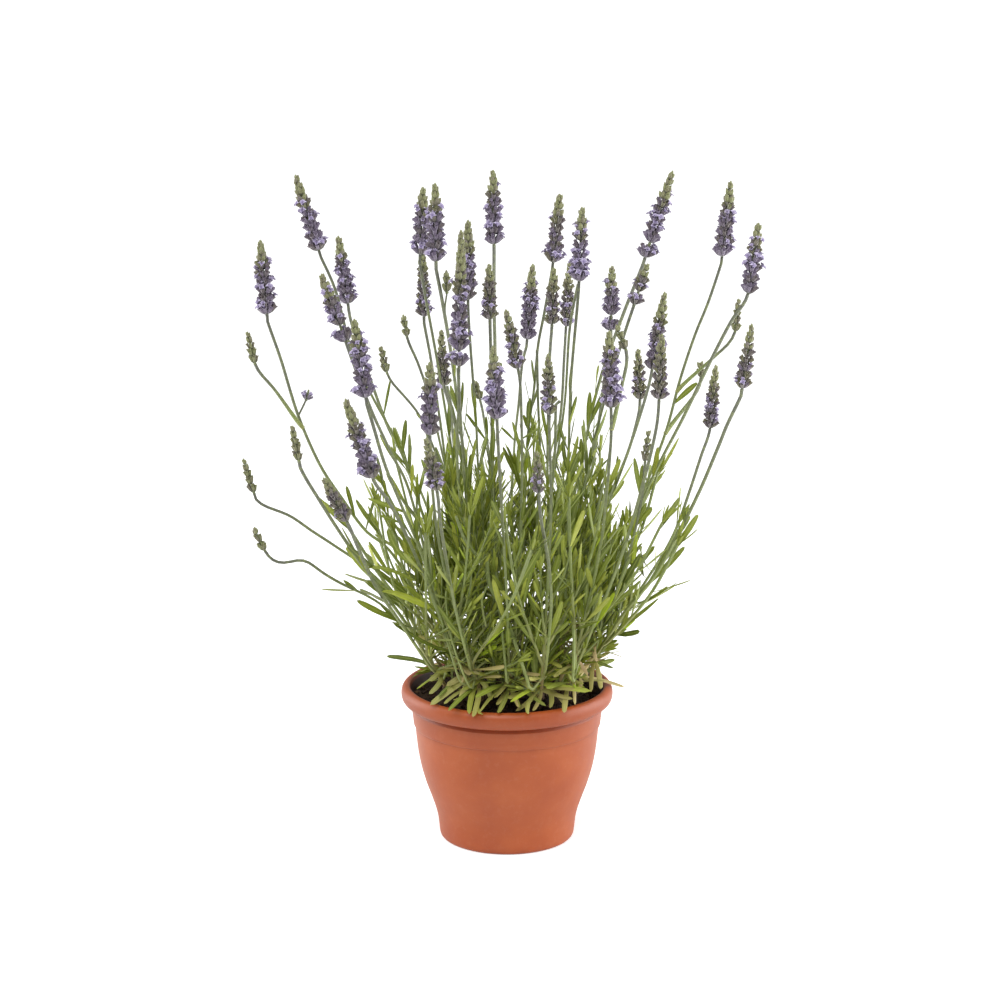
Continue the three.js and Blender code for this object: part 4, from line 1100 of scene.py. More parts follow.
def fill_leaf(found, place, outward, lean, long, owner, fresh, droop=0.0, blunt=0.2, dry=0.0):
    """One more leaf at a place on a stem, where it crosses no stem, flower head or pot."""
    at, along, _, _ = place
    aside = np.cross(along, outward)
    turn = math.radians(lean)
    reach = along * math.cos(turn) + outward * math.sin(turn) + aside * growth.uniform(-0.25, 0.25)
    reach = unit(reach)
    bend = np.array([0, 0, -droop]) + along * growth.uniform(-0.12, 0.16) + aside * growth.uniform(-0.1, 0.1)
    shares = np.array([0.25, 0.5, 0.75, 1.0])[:, None]
    points = at + reach * long * shares + bend * long * shares**2
    free = in_bush(points[-1]) and clear_of_pot(points)
    if free and taken.is_free(at + reach * long * 0.2, points[-1], 0.6, owner):
        wide = LEAF["wide"] * (0.28 + 0.72 * long / LEAF["long"]) * growth.uniform(0.72, 1.15)
        tone = np.clip(fresh + growth.normal(0, 0.26), 0, 1)
        note_leaf(found, at + outward * 0.3, reach, along, long, wide, bend, tone, dry, blunt)


def fill_stem(found, line, across, start, stop, owner, apart, size, lean, fresh, tufts=True):
    """Pairs of leaves up a stem, each pair at right angles to the one below, with tufts in the axils."""
    count = max(1, int((stop - start) / apart))
    lengths = start + (stop - start) * (np.arange(count) + growth.uniform(0.3, 0.7, count)) / count
    for k, place in enumerate(stations(line, lengths, across)):
        share = (lengths[k] - start) / (stop - start)
        for sign in (1, -1):
            outward = sign * (place[2] if k % 2 else place[3])
            long = LEAF["long"] * size * (1 - 0.25 * share) * growth.uniform(0.6, 1.15)
            tilt = lean * (1 - 0.35 * share) + growth.uniform(-9, 10)
            fill_leaf(found, place, outward, tilt, long, owner, fresh)
            for _ in range(growth.integers(0, TUFT["leaves"] + 1) if tufts else 0):
                sway = growth.uniform(-1.0, 1.0)
                swung = unit(outward + sway * (place[3] if k % 2 else place[2]))
                small = growth.uniform(TUFT["short"], TUFT["long"]) * size
                fill_leaf(found, place, swung, growth.uniform(10, 42), small, owner, fresh + TUFT["fresher"])


def crown_leaves(found, line, across, size, fresh):
    """The young leaves that stand together at the end of a leafy shoot, each turned on from the one
    before, and shorter and more upright."""
    place = stations(line, [line.length * 0.5, line.length - 1], across)[-1]
    for k in range(YOUNG["leaves"]):
        angle = k * YOUNG["turn"]
        outward = place[2] * math.cos(angle) + place[3] * math.sin(angle)
        long = LEAF["long"] * size * (0.7 - 0.08 * k) * growth.uniform(0.75, 1.15)
        note_leaf(
            found, place[0], place[1] + outward * (0.14 + 0.05 * (YOUNG["leaves"] - k)), place[1], long,
            LEAF["wide"] * growth.uniform(0.4, 0.58), -0.03 * outward, min(1, fresh + 0.04 * k),
        )


def grow_sprout(sprig, name, start, along, away, leans, longs):
    """A short leafy sprout that leans out from a stem and then rises, or nothing where there is no room."""
    for _ in range(SPROUTS["trials"]):
        turn = away + growth.uniform(-2.2, 2.2)
        lean = math.radians(growth.uniform(*leans))
        long = growth.uniform(*longs)
        out = level(turn)
        leave = start + out * 3 + along * 5
        end = leave + out * long * math.sin(lean) + np.array([0, 0, long * math.cos(lean)])
        line = Line([leave, (leave + end) / 2 + out * long * 0.07, end])
        points = line.at(np.linspace(0, 1, 5))
        free = all(taken.is_free(points[j], points[j + 1], 1.2, sprig.name) for j in range(1, 4))
        if free and in_bush(end * 1.08) and clear_of_pot(points):
            owner = f"{sprig.name}_{name}"
            taken.take_line(line, 1.0, owner)
            return [{"start": start, "line": line, "owner": owner}]
    return []


def make_sprouts(index):
    """The sprouts of a sprig: some from the lower part of its main stem, some from its old limb."""
    sprig = SPRIGS[index]
    main = mains[index]
    limb = limb_lines[index]
    away = away_of(sprig)
    longs = (SPROUTS["short"], SPROUTS["long"])
    up = np.array([0, 0, 1.0])
    sprouts = []
    for k in range(SPROUTS["count"]):
        span = SPROUTS["high"] - SPROUTS["low"]
        share = SPROUTS["low"] + span * (k + growth.uniform(0, 1)) / SPROUTS["count"]
        share = share / main.length
        start = main.at(share)[0]
        along = main.heading(share)[0]
        leans = (14 - 6 * k / SPROUTS["count"], 72 - 36 * k / SPROUTS["count"])
        sprouts += grow_sprout(sprig, f"sprout_{k}", start, along, away, leans, longs)
    for k in range(SPROUTS["basal"]):
        share = 0.3 + 0.68 * (k + growth.uniform(0, 1)) / SPROUTS["basal"]
        start = limb.at(share)[0] + 1.5 * up
        sprouts += grow_sprout(sprig, f"basal_{k}", start, up, away, (10, 80), (14, 48))
    return sprouts


def across_of(line):
    """A level direction across a stem."""
    along = line.at(1)[0] - line.at(0)[0]
    return unit(np.cross(along, [0.1, 0.2, 1.0]) + 1e-6)


def add_skirt(found, sprig, main):
    """Long leaves from the foot of a sprig that arch out and down over the soil and the rim."""
    away = away_of(sprig)
    for _ in range(SKIRT["leaves"]):
        length = growth.uniform(1, SKIRT["high"])
        place = stations(main, [length, length + 5], MAIN_ACROSS)[0]
        turn = away + growth.uniform(-1.7, 1.7)
        out = level(turn)
        outward = unit(out - place[1] * (out @ place[1]))
        long = growth.uniform(SKIRT["short"], SKIRT["long"])
        lean = growth.uniform(SKIRT["least"], SKIRT["most"])
        droop = growth.uniform(0, 0.3)
        dry = growth.uniform(0.3, 0.85)
        fill_leaf(found, place, outward, lean, long, sprig.name, SKIRT["fresh"], droop, 1.0, dry)


sprout_sets = [make_sprouts(index) for index in range(len(SPRIGS))]
for index, sprig in enumerate(SPRIGS):
    found = leaf_sets[index]
    for leaf in found:
        leaf["tone"] = float(np.clip(growth.normal(0.4, 0.22), 0, 1))
        leaf["dry"] = 0.0
        leaf["blunt"] = 0.4
    main = mains[index]
    owner = sprig.name
    leafy = leafy_length(main)
    add_skirt(found, sprig, main)
    fill_stem(found, main, MAIN_ACROSS, 8, 70, owner, **FILL["low"])
    fill_stem(found, main, MAIN_ACROSS, 70, leafy + 20, owner, **FILL["main"])
    fill_stem(found, main, MAIN_ACROSS, leafy + 20, 0.74 * main.length, owner, **FILL["main_high"])
    for k, fork in enumerate(side_sets[index]):
        if "joins" not in fork["stalk"].extras:
            line = fork["line"]
            owner = f"{sprig.name}_side_{k}"
            leafy = leafy_length(line)
            fill_stem(found, line, across_of(line), 10, leafy, owner, **FILL["side"])
            fill_stem(found, line, across_of(line), leafy, 0.7 * line.length, owner, **FILL["side_high"])
    for k, fork in enumerate(shoot_sets[index]):
        line = fork["line"]
        owner = f"{sprig.name}_shoot_{k}"
        fill_stem(found, line, across_of(line), 6, line.length - 4, owner, **FILL["shoot"])
        crown_leaves(found, line, across_of(line), 0.9, 0.42)
    for sprout in sprout_sets[index]:
        line = sprout["line"]
        fill_stem(found, line, across_of(line), 4, line.length - 3, sprout["owner"], **FILL["sprout"])
        crown_leaves(found, line, across_of(line), 0.75, 0.48)

# Placed leaves whose tips the front view shows lower than this hang over the soil.
SOIL_DOWN = 666
# Leaves of the front that splay over the soil and the rim, and others that stand out: where the front view
# shows foot and tip, their depths, width in mm, tone from grey green to yellow green, and how dry.
PLACED_LEAVES = [
    ((446, 669), (429, 681), -50, -56, 4.6, 0.5, 0), ((448, 678), (429, 694), -56, -64, 4.8, 0.45, 0),
    ((463, 678), (430, 705), -60, -72, 6.2, 0.58, 0), ((467, 680), (461, 698), -62, -74, 6.2, 0.6, 0),
    ((468, 696), (453, 700), -66, -74, 4.2, 0.7, 0.2), ((471, 690), (469, 714), -70, -92, 5.0, 0.6, 0),
    ((481, 692), (473, 717), -72, -95, 5.0, 0.64, 0), ((496, 686), (478, 714), -68, -94, 6.0, 0.62, 0),
    ((474, 714), (483, 714), -90, -97, 3.6, 0.8, 0.2), ((507, 697), (498, 713), -66, -82, 4.4, 0.35, 0),
    ((528, 690), (507, 698), -64, -74, 5.4, 0.62, 0), ((539, 694), (516, 711), -62, -80, 5.0, 0.6, 0.5),
    ((542, 697), (533, 711), -62, -80, 3.8, 0.6, 0.6), ((477, 669), (495, 680), -58, -72, 5.6, 0.9, 0),
    ((464, 641), (481, 653), -60, -68, 4.4, 0.6, 0), ((493, 662), (482, 633), -62, -74, 6.2, 0.35, 0),
    ((450, 665), (489, 675), -54, -68, 4.8, 0.45, 0), ((533, 670), (565, 649), -58, -74, 6.0, 0.85, 0),
    ((538, 682), (591, 691), -60, -72, 7.0, 1.0, 0), ((536, 689), (573, 699), -62, -74, 5.6, 0.5, 0),
    ((528, 674), (538, 629), -60, -72, 5.6, 0.3, 0), ((499, 633), (516, 652), -64, -72, 3.8, 0.55, 0.1),
    ((591, 662), (591, 692), -40, -56, 4.0, 0.7, 0.5), ((599, 668), (601, 689), -36, -44, 4.6, 0.75, 0.3),
    ((588, 674), (577, 694), -44, -58, 3.4, 0.7, 0.6), ((574, 672), (575, 705), -50, -66, 3.4, 0.7, 0.7),
    ((583, 650), (571, 668), -48, -58, 3.0, 0.4, 0.9), ((590, 645), (597, 662), -44, -52, 3.0, 0.4, 0.9),
    ((578, 656), (588, 676), -46, -56, 3.0, 0.4, 1.0), ((566, 660), (560, 682), -48, -58, 3.2, 0.4, 0.8),
    ((619, 637), (640, 631), -20, -26, 4.4, 0.15, 0), ((424, 658), (386, 656), -30, -34, 5.0, 0.05, 0),
    ((396, 590), (431, 608), -90, -78, 5.8, 0.85, 0), ((441, 655), (391, 621), -60, -84, 5.0, 0.3, 0),
    ((383, 562), (416, 581), -96, -80, 5.4, 0.45, 0), ((640, 607), (668, 586), -20, -34, 5.2, 0.35, 0),
    ((632, 567), (655, 546), -10, -22, 5.0, 0.4, 0), ((641, 562), (641, 546), -10, -16, 4.4, 0.3, 0),
    ((396, 561), (388, 528), -100, -110, 4.6, 0.3, 0), ((668, 549), (694, 522), 30, 26, 4.6, 0.15, 0),
    ((643, 522), (652, 507), 10, 4, 4.4, 0.4, 0), ((415, 480), (391, 449), 20, 10, 3.8, 0.3, 0),
    ((511, 690), (520, 708), -66, -82, 4.4, 0.4, 0), ((519, 686), (546, 706), -64, -80, 4.6, 0.3, 0),
    ((487, 676), (462, 690), -62, -76, 5.0, 0.55, 0), ((475, 668), (446, 686), -58, -68, 5.0, 0.4, 0),
    ((552, 684), (566, 706), -58, -74, 4.6, 0.35, 0), ((560, 676), (584, 684), -54, -64, 4.6, 0.5, 0),
    ((500, 676), (470, 672), -64, -76, 5.0, 0.6, 0), ((454, 670), (436, 672), -52, -60, 4.6, 0.55, 0),
    ((510, 680), (494, 698), -66, -80, 4.8, 0.5, 0), ((520, 676), (535, 692), -64, -76, 5.2, 0.6, 0),
    ((545, 672), (574, 672), -58, -70, 4.8, 0.6, 0), ((484, 678), (492, 700), -66, -80, 4.6, 0.4, 0),
    ((456, 690), (444, 704), -64, -76, 4.2, 0.5, 0), ((524, 700), (528, 714), -74, -88, 4.0, 0.5, 0.3),
    ((556, 690), (550, 708), -62, -78, 4.4, 0.55, 0), ((490, 656), (470, 646), -60, -74, 5.0, 0.5, 0),
    ((520, 650), (536, 634), -62, -74, 4.8, 0.35, 0), ((548, 656), (562, 668), -58, -72, 4.6, 0.7, 0),
]


# Where every main stem and side stalk runs: points 4 mm apart and the number of their sprig.
stem_points = []
stem_sprigs = []
for index, sides in enumerate(side_sets):
    for line in [mains[index], *(fork["line"] for fork in sides)]:
        along_line = line.at(np.arange(4, line.length, 4) / line.length)
        stem_points.append(along_line)
        stem_sprigs += [index] * len(along_line)
stem_points = np.concatenate(stem_points)
stem_view = places_in_view(stem_points)


def stem_near(point):
    """The sprig whose stem passes nearest to a point, and where on the stem that is."""
    best = np.argmin(np.linalg.norm(stem_points - point, axis=1))
    return stem_sprigs[best], stem_points[best]


# Each placed leaf grows from the nearest stem. It comes nearer to the eye, by up to 30 mm, until it is
# clear of the pot.
for foot, tip, foot_depth, tip_depth, wide, tone, dry in PLACED_LEAVES:
    sprig_index, start = stem_near(seen(foot, foot_depth))
    steps = np.linspace(0.2, 1, 9)[:, None]
    for lift in np.arange(0, 30, 1.5):
        knee = seen(foot, foot_depth - 0.6 * lift)
        end = seen(tip, tip_depth - lift)
        points = start + 2 * (knee - start) * steps + (start - 2 * knee + end) * steps**2
        if clear_of_pot(points):
            break
    long = 2 * np.linalg.norm(knee - start)
    bend = start - 2 * knee + end
    # Those that hang over the soil are the oldest: they have shrunk a little and paled, some more than
    # others.
    old = tip[1] > SOIL_DOWN
    paled = 0.12 + 0.36 * (tip[0] % 7) / 6
    note_leaf(
        leaf_sets[sprig_index], start, knee - start, unit(np.array([0, -0.5, 1.0])), long,
        (1.04 if old else 1.2) * wide, bend / long, tone, max(dry, paled) if old else dry, 1.0,
    )

# Leaves that stand out along the upper stalks: foot and tip in the front view, at the depth of the stalk
# that the view shows there, then width and tone.
STALK_LEAVES = [
    ((390, 412), (391, 377), 2.6, 0.2), ((402, 455), (406, 418), 4.6, 0.25),
    ((406, 466), (390, 448), 2.8, 0.2), ((414, 464), (411, 444), 3.4, 0.3),
    ((402, 452), (393, 426), 4.0, 0.35), ((406, 512), (367, 498), 4.8, 0.4),
    ((400, 521), (379, 515), 3.2, 0.3), ((370, 524), (378, 486), 2.6, 0.1),
    ((463, 416), (463, 380), 3.0, 0.15), ((485, 444), (465, 412), 3.0, 0.15),
    ((487, 442), (486, 415), 3.0, 0.2), ((457, 414), (450, 384), 4.0, 0.45),
    ((424, 421), (416, 413), 2.6, 0.2), ((517, 442), (501, 427), 2.6, 0.2),
    ((519, 441), (541, 427), 2.6, 0.15), ((583, 428), (590, 390), 4.8, 0.35),
    ((585, 427), (603, 394), 4.2, 0.3), ((565, 425), (577, 395), 3.2, 0.2),
    ((580, 454), (572, 443), 2.2, 0.2), ((676, 406), (698, 382), 5.2, 0.4),
    ((619, 487), (618, 454), 3.0, 0.2), ((592, 477), (609, 458), 2.4, 0.15),
    ((587, 471), (593, 455), 3.0, 0.3), ((573, 484), (579, 454), 5.2, 0.4),
    ((636, 492), (634, 456), 4.2, 0.35), ((642, 494), (642, 464), 4.4, 0.35),
    ((640, 526), (652, 508), 4.6, 0.45), ((641, 520), (647, 502), 3.6, 0.35),
    ((590, 500), (599, 483), 4.2, 0.3), ((611, 503), (604, 487), 3.2, 0.25),
    ((683, 523), (684, 505), 3.6, 0.25), ((455, 500), (445, 452), 4.6, 0.4),
    ((462, 500), (462, 455), 4.6, 0.3), ((470, 495), (471, 452), 4.4, 0.3),
    ((488, 480), (477, 466), 3.2, 0.3), ((519, 455), (512, 420), 3.0, 0.35),
    ((528, 450), (535, 415), 3.0, 0.3), ((545, 450), (548, 420), 3.2, 0.3),
    ((547, 442), (541, 404), 3.0, 0.35), ((560, 450), (563, 418), 2.8, 0.25),
    ((500, 450), (497, 430), 3.2, 0.35), ((477, 430), (474, 402), 2.6, 0.3),
    ((430, 486), (421, 458), 3.4, 0.3), ((358, 592), (343, 580), 3.4, 0.2),
    ((395, 620), (366, 608), 3.8, 0.25), ((597, 665), (613, 668), 3.0, 0.2),
    ((605, 645), (618, 640), 3.4, 0.3), ((655, 575), (668, 548), 3.0, 0.3),
]
for foot, tip, wide, tone in STALK_LEAVES:
    nearest = np.argmin(np.linalg.norm(stem_view - foot, axis=1))
    start = stem_points[nearest]
    end = seen(tip, start[1] - 3)
    long = np.linalg.norm(end - start)
    away = np.array([0, -0.05, -0.04])
    top = unit(np.array([0, -0.8, 0.6]))
    note_leaf(leaf_sets[stem_sprigs[nearest]], start, end - start - away * long, top, long, wide, away, tone)

# A leaf is a narrow strap, widest above its middle, and more so where it is blunt. Its midrib is sunk in
# a groove and its margins are rolled under, which the rows below give as shares of half its width. The
# body is its thickness.
LEAF_ALONG = np.array([0, 0.14, 0.36, 0.6, 0.82, 0.95])
LEAF_SPREAD = np.array([0.36, 0.6, 0.9, 1.0, 0.78, 0.42])
LEAF_BLUNT = np.array([0, -0.08, -0.12, 0, 0.22, 0.36])
LEAF_ACROSS = np.array([-1, -0.5, 0, 0.5, 1, 0])
LEAF_RISE = np.array([-0.16, 0.09, -0.08, 0.09, -0.16, -0.22])
LEAF_BODY = 0.16


def leaf_part(leaves):
    """All the leaves of a sprig at once. A point at the share v of the length stands at the start, plus
    the reach times the length times v, plus the bend times the length times v squared. Six corners go
    round it, across the blade and over it, on directions crossed with the bent line."""
    column = {key: np.array([leaf[key] for leaf in leaves], float) for key in leaves[0]}
    corners = len(LEAF_ACROSS)
    long = column["long"][:, None, None]
    v = LEAF_ALONG[None, :, None]
    start = column["start"][:, None]
    reach = column["reach"][:, None]
    bend = column["bend"][:, None]
    centre = start + reach * long * v + bend * long * v**2
    along = unit(reach + 2 * bend * v)
    top = cleared(column["top"][:, None] * np.ones_like(along), along)
    side = np.cross(along, top)
    twist = growth.normal(0, 0.35, (len(leaves), 1, 1)) * v
    top, side = top * np.cos(twist) + side * np.sin(twist), side * np.cos(twist) - top * np.sin(twist)
    spread = LEAF_SPREAD + LEAF_BLUNT * column["blunt"][:, None]
    half = 0.5 * column["wide"][:, None, None, None] * spread[:, :, None, None]
    across = LEAF_ACROSS[None, None, :, None]
    under = np.arange(corners) == corners - 1
    rise = LEAF_RISE[None, None, :, None] * half - LEAF_BODY * under[None, None, :, None]
    blade = centre[:, :, None] + side[:, :, None] * across * half + top[:, :, None] * rise
    tips = (start + reach * long + bend * long)[:, 0]
    per_leaf = len(LEAF_ALONG) * corners + 1
    points = np.concatenate([blade.reshape(len(leaves), -1, 3), tips[:, None]], 1)
    faces = np.vstack([
        ring_faces(len(LEAF_ALONG), corners)[:, [1, 0, 3, 2]],
        fan_faces(per_leaf - 1 - corners, corners, per_leaf - 1, False),
        [(0, 1, 2, 5), (5, 2, 3, 4)],
    ])
    from_rib = np.append(np.tile(np.abs(LEAF_ACROSS), len(LEAF_ALONG)), 0.0)
    return {
        "points": points.reshape(-1, 3),
        "faces": repeated(faces, len(leaves), per_leaf),
        "look": np.full(len(leaves) * len(faces), 1),
        "tone": np.repeat(column["tone"], per_leaf),
        "dry": np.repeat(column["dry"], per_leaf),
        "across": np.tile(from_rib, len(leaves)),
        "along": np.zeros(len(leaves) * per_leaf),
    }


# High up and far out the stems are stouter than the plain ones of the solids: heights and how many
# times as thick, and reaches and how many times. The larger of the two counts.
STOUT_HEIGHTS = [150, 330, 480]
STOUT_UP = [1.0, 1.2, 1.58]
STOUT_REACHES = [90, 160]
STOUT_OUT = [1.0, 1.55]


def stem_part(line, start, half_width, pace, tones):
    """A square stem along a line, from the point where it leaves its parent. Its corners are softened
    by order 3.5, and its tone runs between two values."""
    count = max(4, int(line.length / pace))
    shares = np.linspace(0, 1, count)
    path = line.at(shares)
    stout = np.maximum(
        np.interp(path[:, 2], STOUT_HEIGHTS, STOUT_UP),
        np.interp(np.hypot(path[:, 0], path[:, 1]), STOUT_REACHES, STOUT_OUT),
    )
    halves = np.array([half_width(share) for share in shares]) * stout
    if start is not None:
        path = np.vstack([start, (start + path[0]) / 2, path])
        halves = np.concatenate([halves[[0, 0]], halves])
        for _ in range(2):
            path[1:-1] = 0.25 * path[:-2] + 0.5 * path[1:-1] + 0.25 * path[2:]
    made = tube(path, halves, 8, 3.5, across_of(line))
    tone = np.repeat(np.linspace(*tones, len(path)), 8)
    made["tone"] = np.append(tone, tones)
    for layer in ("dry", "across", "along"):
        made[layer] = np.zeros(len(made["points"]))
    made["look"] = np.zeros(len(made["faces"]), int)
    return made


# A calyx is a downy cup with teeth round its mouth, and before it opens a closed pointed bud. Sizes are
# shares of its length.
CALYX = turned([(0, 0), (0.08, 0.03), (0.19, 0.32), (0.2, 0.72), (0.23, 0.9), (0, 0.68)], 6)
CALYX["points"][18:24:2, 2] += 0.14
CALYX["along"] = np.append(np.repeat([0.02, 0.32, 0.72, 1.0], 6), [0, 0.6])
CLOSED = turned([(0, 0), (0.11, 0.04), (0.28, 0.34), (0.22, 0.68), (0, 1.0)], 6)
CLOSED["along"] = np.append(np.repeat([0.04, 0.36, 0.75], 6), [0, 1.0])


def placed(shape, places, ups, sizes, tones, look):
    """Copies of a small closed shape whose upright runs along a given direction, each turned about it
    by chance and scaled by its size."""
    count = len(places)
    ups = unit(ups)
    side = cleared(growth.normal(size=(count, 3)), ups)
    axes = np.stack([side, np.cross(ups, side), ups], 1) * sizes[:, None, None]
    points = np.einsum("pi,nij->npj", shape["points"], axes) + places[:, None]
    zeros = np.zeros(count * len(shape["points"]))
    return {
        "points": points.reshape(-1, 3),
        "faces": repeated(shape["faces"], count, len(shape["points"])),
        "look": np.full(count * len(shape["faces"]), look),
        "tone": np.repeat(tones, len(shape["points"])),
        "along": np.tile(shape["along"], count),
        "dry": zeros,
        "across": zeros,
    }


# The height of the lowest whorl, and the share of a spike above which its calyces are closed.
FIRST_WHORL = 1.2
TOP_SHARE = 0.6


def spike(stalk, most, look):
    """One spike, whorl above whorl of calyces in two tiers. Each has a place, a direction, a size and how
    purple it is: most at the foot and green at the tip, where the calyces are closed and narrow into a
    point. Returns its parts, the calyces that are in flower, and the line of its stem."""
    form = stalk.form
    base = seen(stalk.foot, stalk.depth)
    axis = seen(stalk.tip, stalk.depth) - base
    long = np.linalg.norm(axis)
    axis = axis / long
    side = unit(np.cross([0, 1, 0], axis))
    over = np.cross(axis, side)
    calyx = form["calyx"]
    heights = []
    height = FIRST_WHORL
    while height < long - (0.95 if form is BUD else 0.75) * calyx:
        heights.append(height)
        share = height / long
        parted = stalk.extras.get("parted") and len(heights) == 1
        height += calyx * (1.5 if parted else 0.96 - 0.34 * share - 0.12 * max(0, share - TOP_SHARE) / 0.4)
    # The rows are spread so that the last one closes round the tip.
    last = long - 0.92 * calyx
    spread = (last - FIRST_WHORL) / max(heights[-1] - FIRST_WHORL, 1)
    heights = FIRST_WHORL + (np.array(heights) - FIRST_WHORL) * spread
    rows = []
    for row, height in enumerate(heights):
        share = height / long
        in_top = max(0, share - TOP_SHARE)
        # Whorls are in flower up to a height that rises with how ripe the spike is, and mostly on one side.
        in_flower = np.clip((0.1 + 0.58 * most - share) / 0.1, 0, 1)
        openness = most**0.5 * growth.choice([0.1, 0.7, 1.2]) * in_flower
        patch = growth.uniform(0, TURN)
        for tier in (0, 1):
            count = round(form["round"] * (1.06 - 0.46 * share)) - 2 * tier
            angles = (np.arange(count) + 0.5 * ((row + tier) % 2)) * TURN / count
            angles += growth.uniform(-0.2, 0.2, count)
            lean = 38 + 5 * (1 - share) - 12 * tier * (1 - share) - 22 * in_top / 0.4
            lean = np.radians(lean + growth.uniform(-8, 8, count) * (1 - 0.5 * share))
            lean = lean * (0.45 if form is BUD else 1)
            out = side[None] * np.cos(angles)[:, None] + over[None] * np.sin(angles)[:, None]
            ups = axis[None] * np.cos(lean)[:, None] + out * np.sin(lean)[:, None]
            lifts = height + 0.26 * tier * calyx + growth.uniform(-0.5, 0.5, count)
            places = base + axis[None] * lifts[:, None] + out * (1.5 - 1.1 * share)
            slim = 1.06 - 0.28 * share - 0.32 * max(0, share - 0.68) / 0.32
            sizes = calyx * (slim - 0.08 * tier) * growth.uniform(0.86, 1.12, count)
            purple = most * np.clip((0.72 - share) / 0.3, 0, 1) + growth.uniform(-0.4, 0.4, count)
            odds = openness * (0.5 + 0.5 * np.cos(angles - patch))
            opened = odds > growth.uniform(0, 1, count)
            shut = np.full(count, share > TOP_SHARE)
            rows.append([places, ups, sizes, np.clip(purple, 0, 1), opened, shut])
    rows.append([
        np.array([base + axis * (long - 0.6 * calyx)]), axis[None], np.array([0.6 * calyx]), np.zeros(1),
        np.zeros(1, bool), np.ones(1, bool),
    ])
    places, ups, sizes, purple, opened, shut = (np.concatenate(column) for column in zip(*rows))
    core = Line([base - 0.5 * axis, base + 0.5 * long * axis, base + 0.94 * long * axis])
    made = [
        placed(CALYX, places[~shut], ups[~shut], sizes[~shut], purple[~shut], look),
        placed(CLOSED, places[shut], ups[shut], sizes[shut], purple[shut], look),
    ]
    return made, (places[opened], ups[opened], sizes[opened]), core


def spike_core(share):
    """Half the width of the stem inside a spike, which tapers evenly."""
    return 0.8 - 0.4 * share


def ramped(material, attribute, stops):
    """The colours that a value of each point runs through, as a node and output to link to."""
    value = add(material, "Attribute", {"attribute_name": attribute}, {})
    return add(material, "ValToRGB", {"stops": stops}, {"Fac": (value, "Fac")}), "Color"


# Green stems: matt and faintly ridged, brown where they turn woody, grey-green with down above, and
# flushed with purple under the flowers.
stem_skin, shader, place = new_material("downy green stem", 0.6)
shader.inputs["Sheen Weight"].default_value = 0.1
stem_green = ramped(stem_skin, "tone", [
    (0.0, "#94794F"), (0.12, "#8F9052"), (0.35, "#7F8C4B"), (0.75, "#696F50"), (1.0, "#5E6055"),
])
stem_colour = spotted(stem_skin, place, stem_green, "#A9B66C", 4, 4.0, 0.5, low=0.45, high=0.75, most=0.35)
join(shader, {"Base Color": (stem_colour, "Result_Color")})

# Leaves: a waxy blade under short grey down, so it is matt with a silvery edge. Old leaves are grey
# green, young ones yellow green, and dead ones tan. The midrib is paler.
leaf_skin, shader, place = new_material("downy lavender leaf", 0.5)
shader.inputs["Sheen Weight"].default_value = 0.06
leaf_green = ramped(leaf_skin, "tone", [
    (0.0, "#58661A"), (0.3, "#728122"), (0.55, "#8E9A2C"), (0.8, "#ADB340"), (1.0, "#AFC81E"),
])
leaf_mottled = spotted(leaf_skin, place, leaf_green, "#58641A", 7, 4.0, 0.6, low=0.4, high=0.75, most=0.4)
across_blade = add(leaf_skin, "Attribute", {"attribute_name": "across"}, {})
rib_share = add(
    leaf_skin, "MapRange", {"From Min": 0.3, "From Max": 0.0, "To Max": 0.45},
    {"Value": (across_blade, "Fac")},
)
leaf_ribbed = add(
    leaf_skin, "Mix", {"data_type": "RGBA", "B_Color": linear("#B2B962")},
    {"Factor_Float": (rib_share, "Result"), "A_Color": (leaf_mottled, "Result_Color")},
)
leaf_dry = add(leaf_skin, "Attribute", {"attribute_name": "dry"}, {})
leaf_colour = add(
    leaf_skin, "Mix", {"data_type": "RGBA", "B_Color": linear("#BAA173")},
    {"Factor_Float": (leaf_dry, "Fac"), "A_Color": (leaf_ribbed, "Result_Color")},
)
down = add(leaf_skin, "TexNoise", {"Scale": 1 / (1.2 * MM), "Detail": 2.0}, {"Vector": place})
leaf_bump = add(leaf_skin, "Bump", {"Strength": 0.25, "Distance": 0.3 * MM}, {"Height": (down, "Fac")})
join(shader, {"Base Color": (leaf_colour, "Result_Color"), "Normal": (leaf_bump, "Normal")})

# Calyces: thick with down over ribs, dusky purple where they are ripe and grey green as buds.
calyx_skin, shader, place = new_material("downy lavender calyx", 0.75)
shader.inputs["Sheen Weight"].default_value = 0.35
ripe = ramped(calyx_skin, "tone", [
    (0.0, "#84875C"), (0.3, "#7C795A"), (0.6, "#746C68"), (0.85, "#6B6068"), (1.0, "#83778C"),
])
# Each calyx darkens to dark olive towards its foot: partly its own colour, partly painted shade where the
# calyces crowd one another.
up_cup = add(calyx_skin, "Attribute", {"attribute_name": "along"}, {})
olive_and_shaded_foot = add(
    calyx_skin, "MapRange", {"From Min": 0.5, "From Max": 0.0, "To Max": 0.7}, {"Value": (up_cup, "Fac")},
)
calyx_colour = add(
    calyx_skin, "Mix", {"data_type": "RGBA", "B_Color": linear("#44473A")},
    {"Factor_Float": (olive_and_shaded_foot, "Result"), "A_Color": ripe},
)
ribs = add(calyx_skin, "TexNoise", {"Scale": 1 / (0.8 * MM), "Detail": 3.0}, {"Vector": place})
calyx_bump = add(calyx_skin, "Bump", {"Strength": 0.5, "Distance": 0.25 * MM}, {"Height": (ribs, "Fac")})
join(shader, {"Base Color": (calyx_colour, "Result_Color"), "Normal": (calyx_bump, "Normal")})

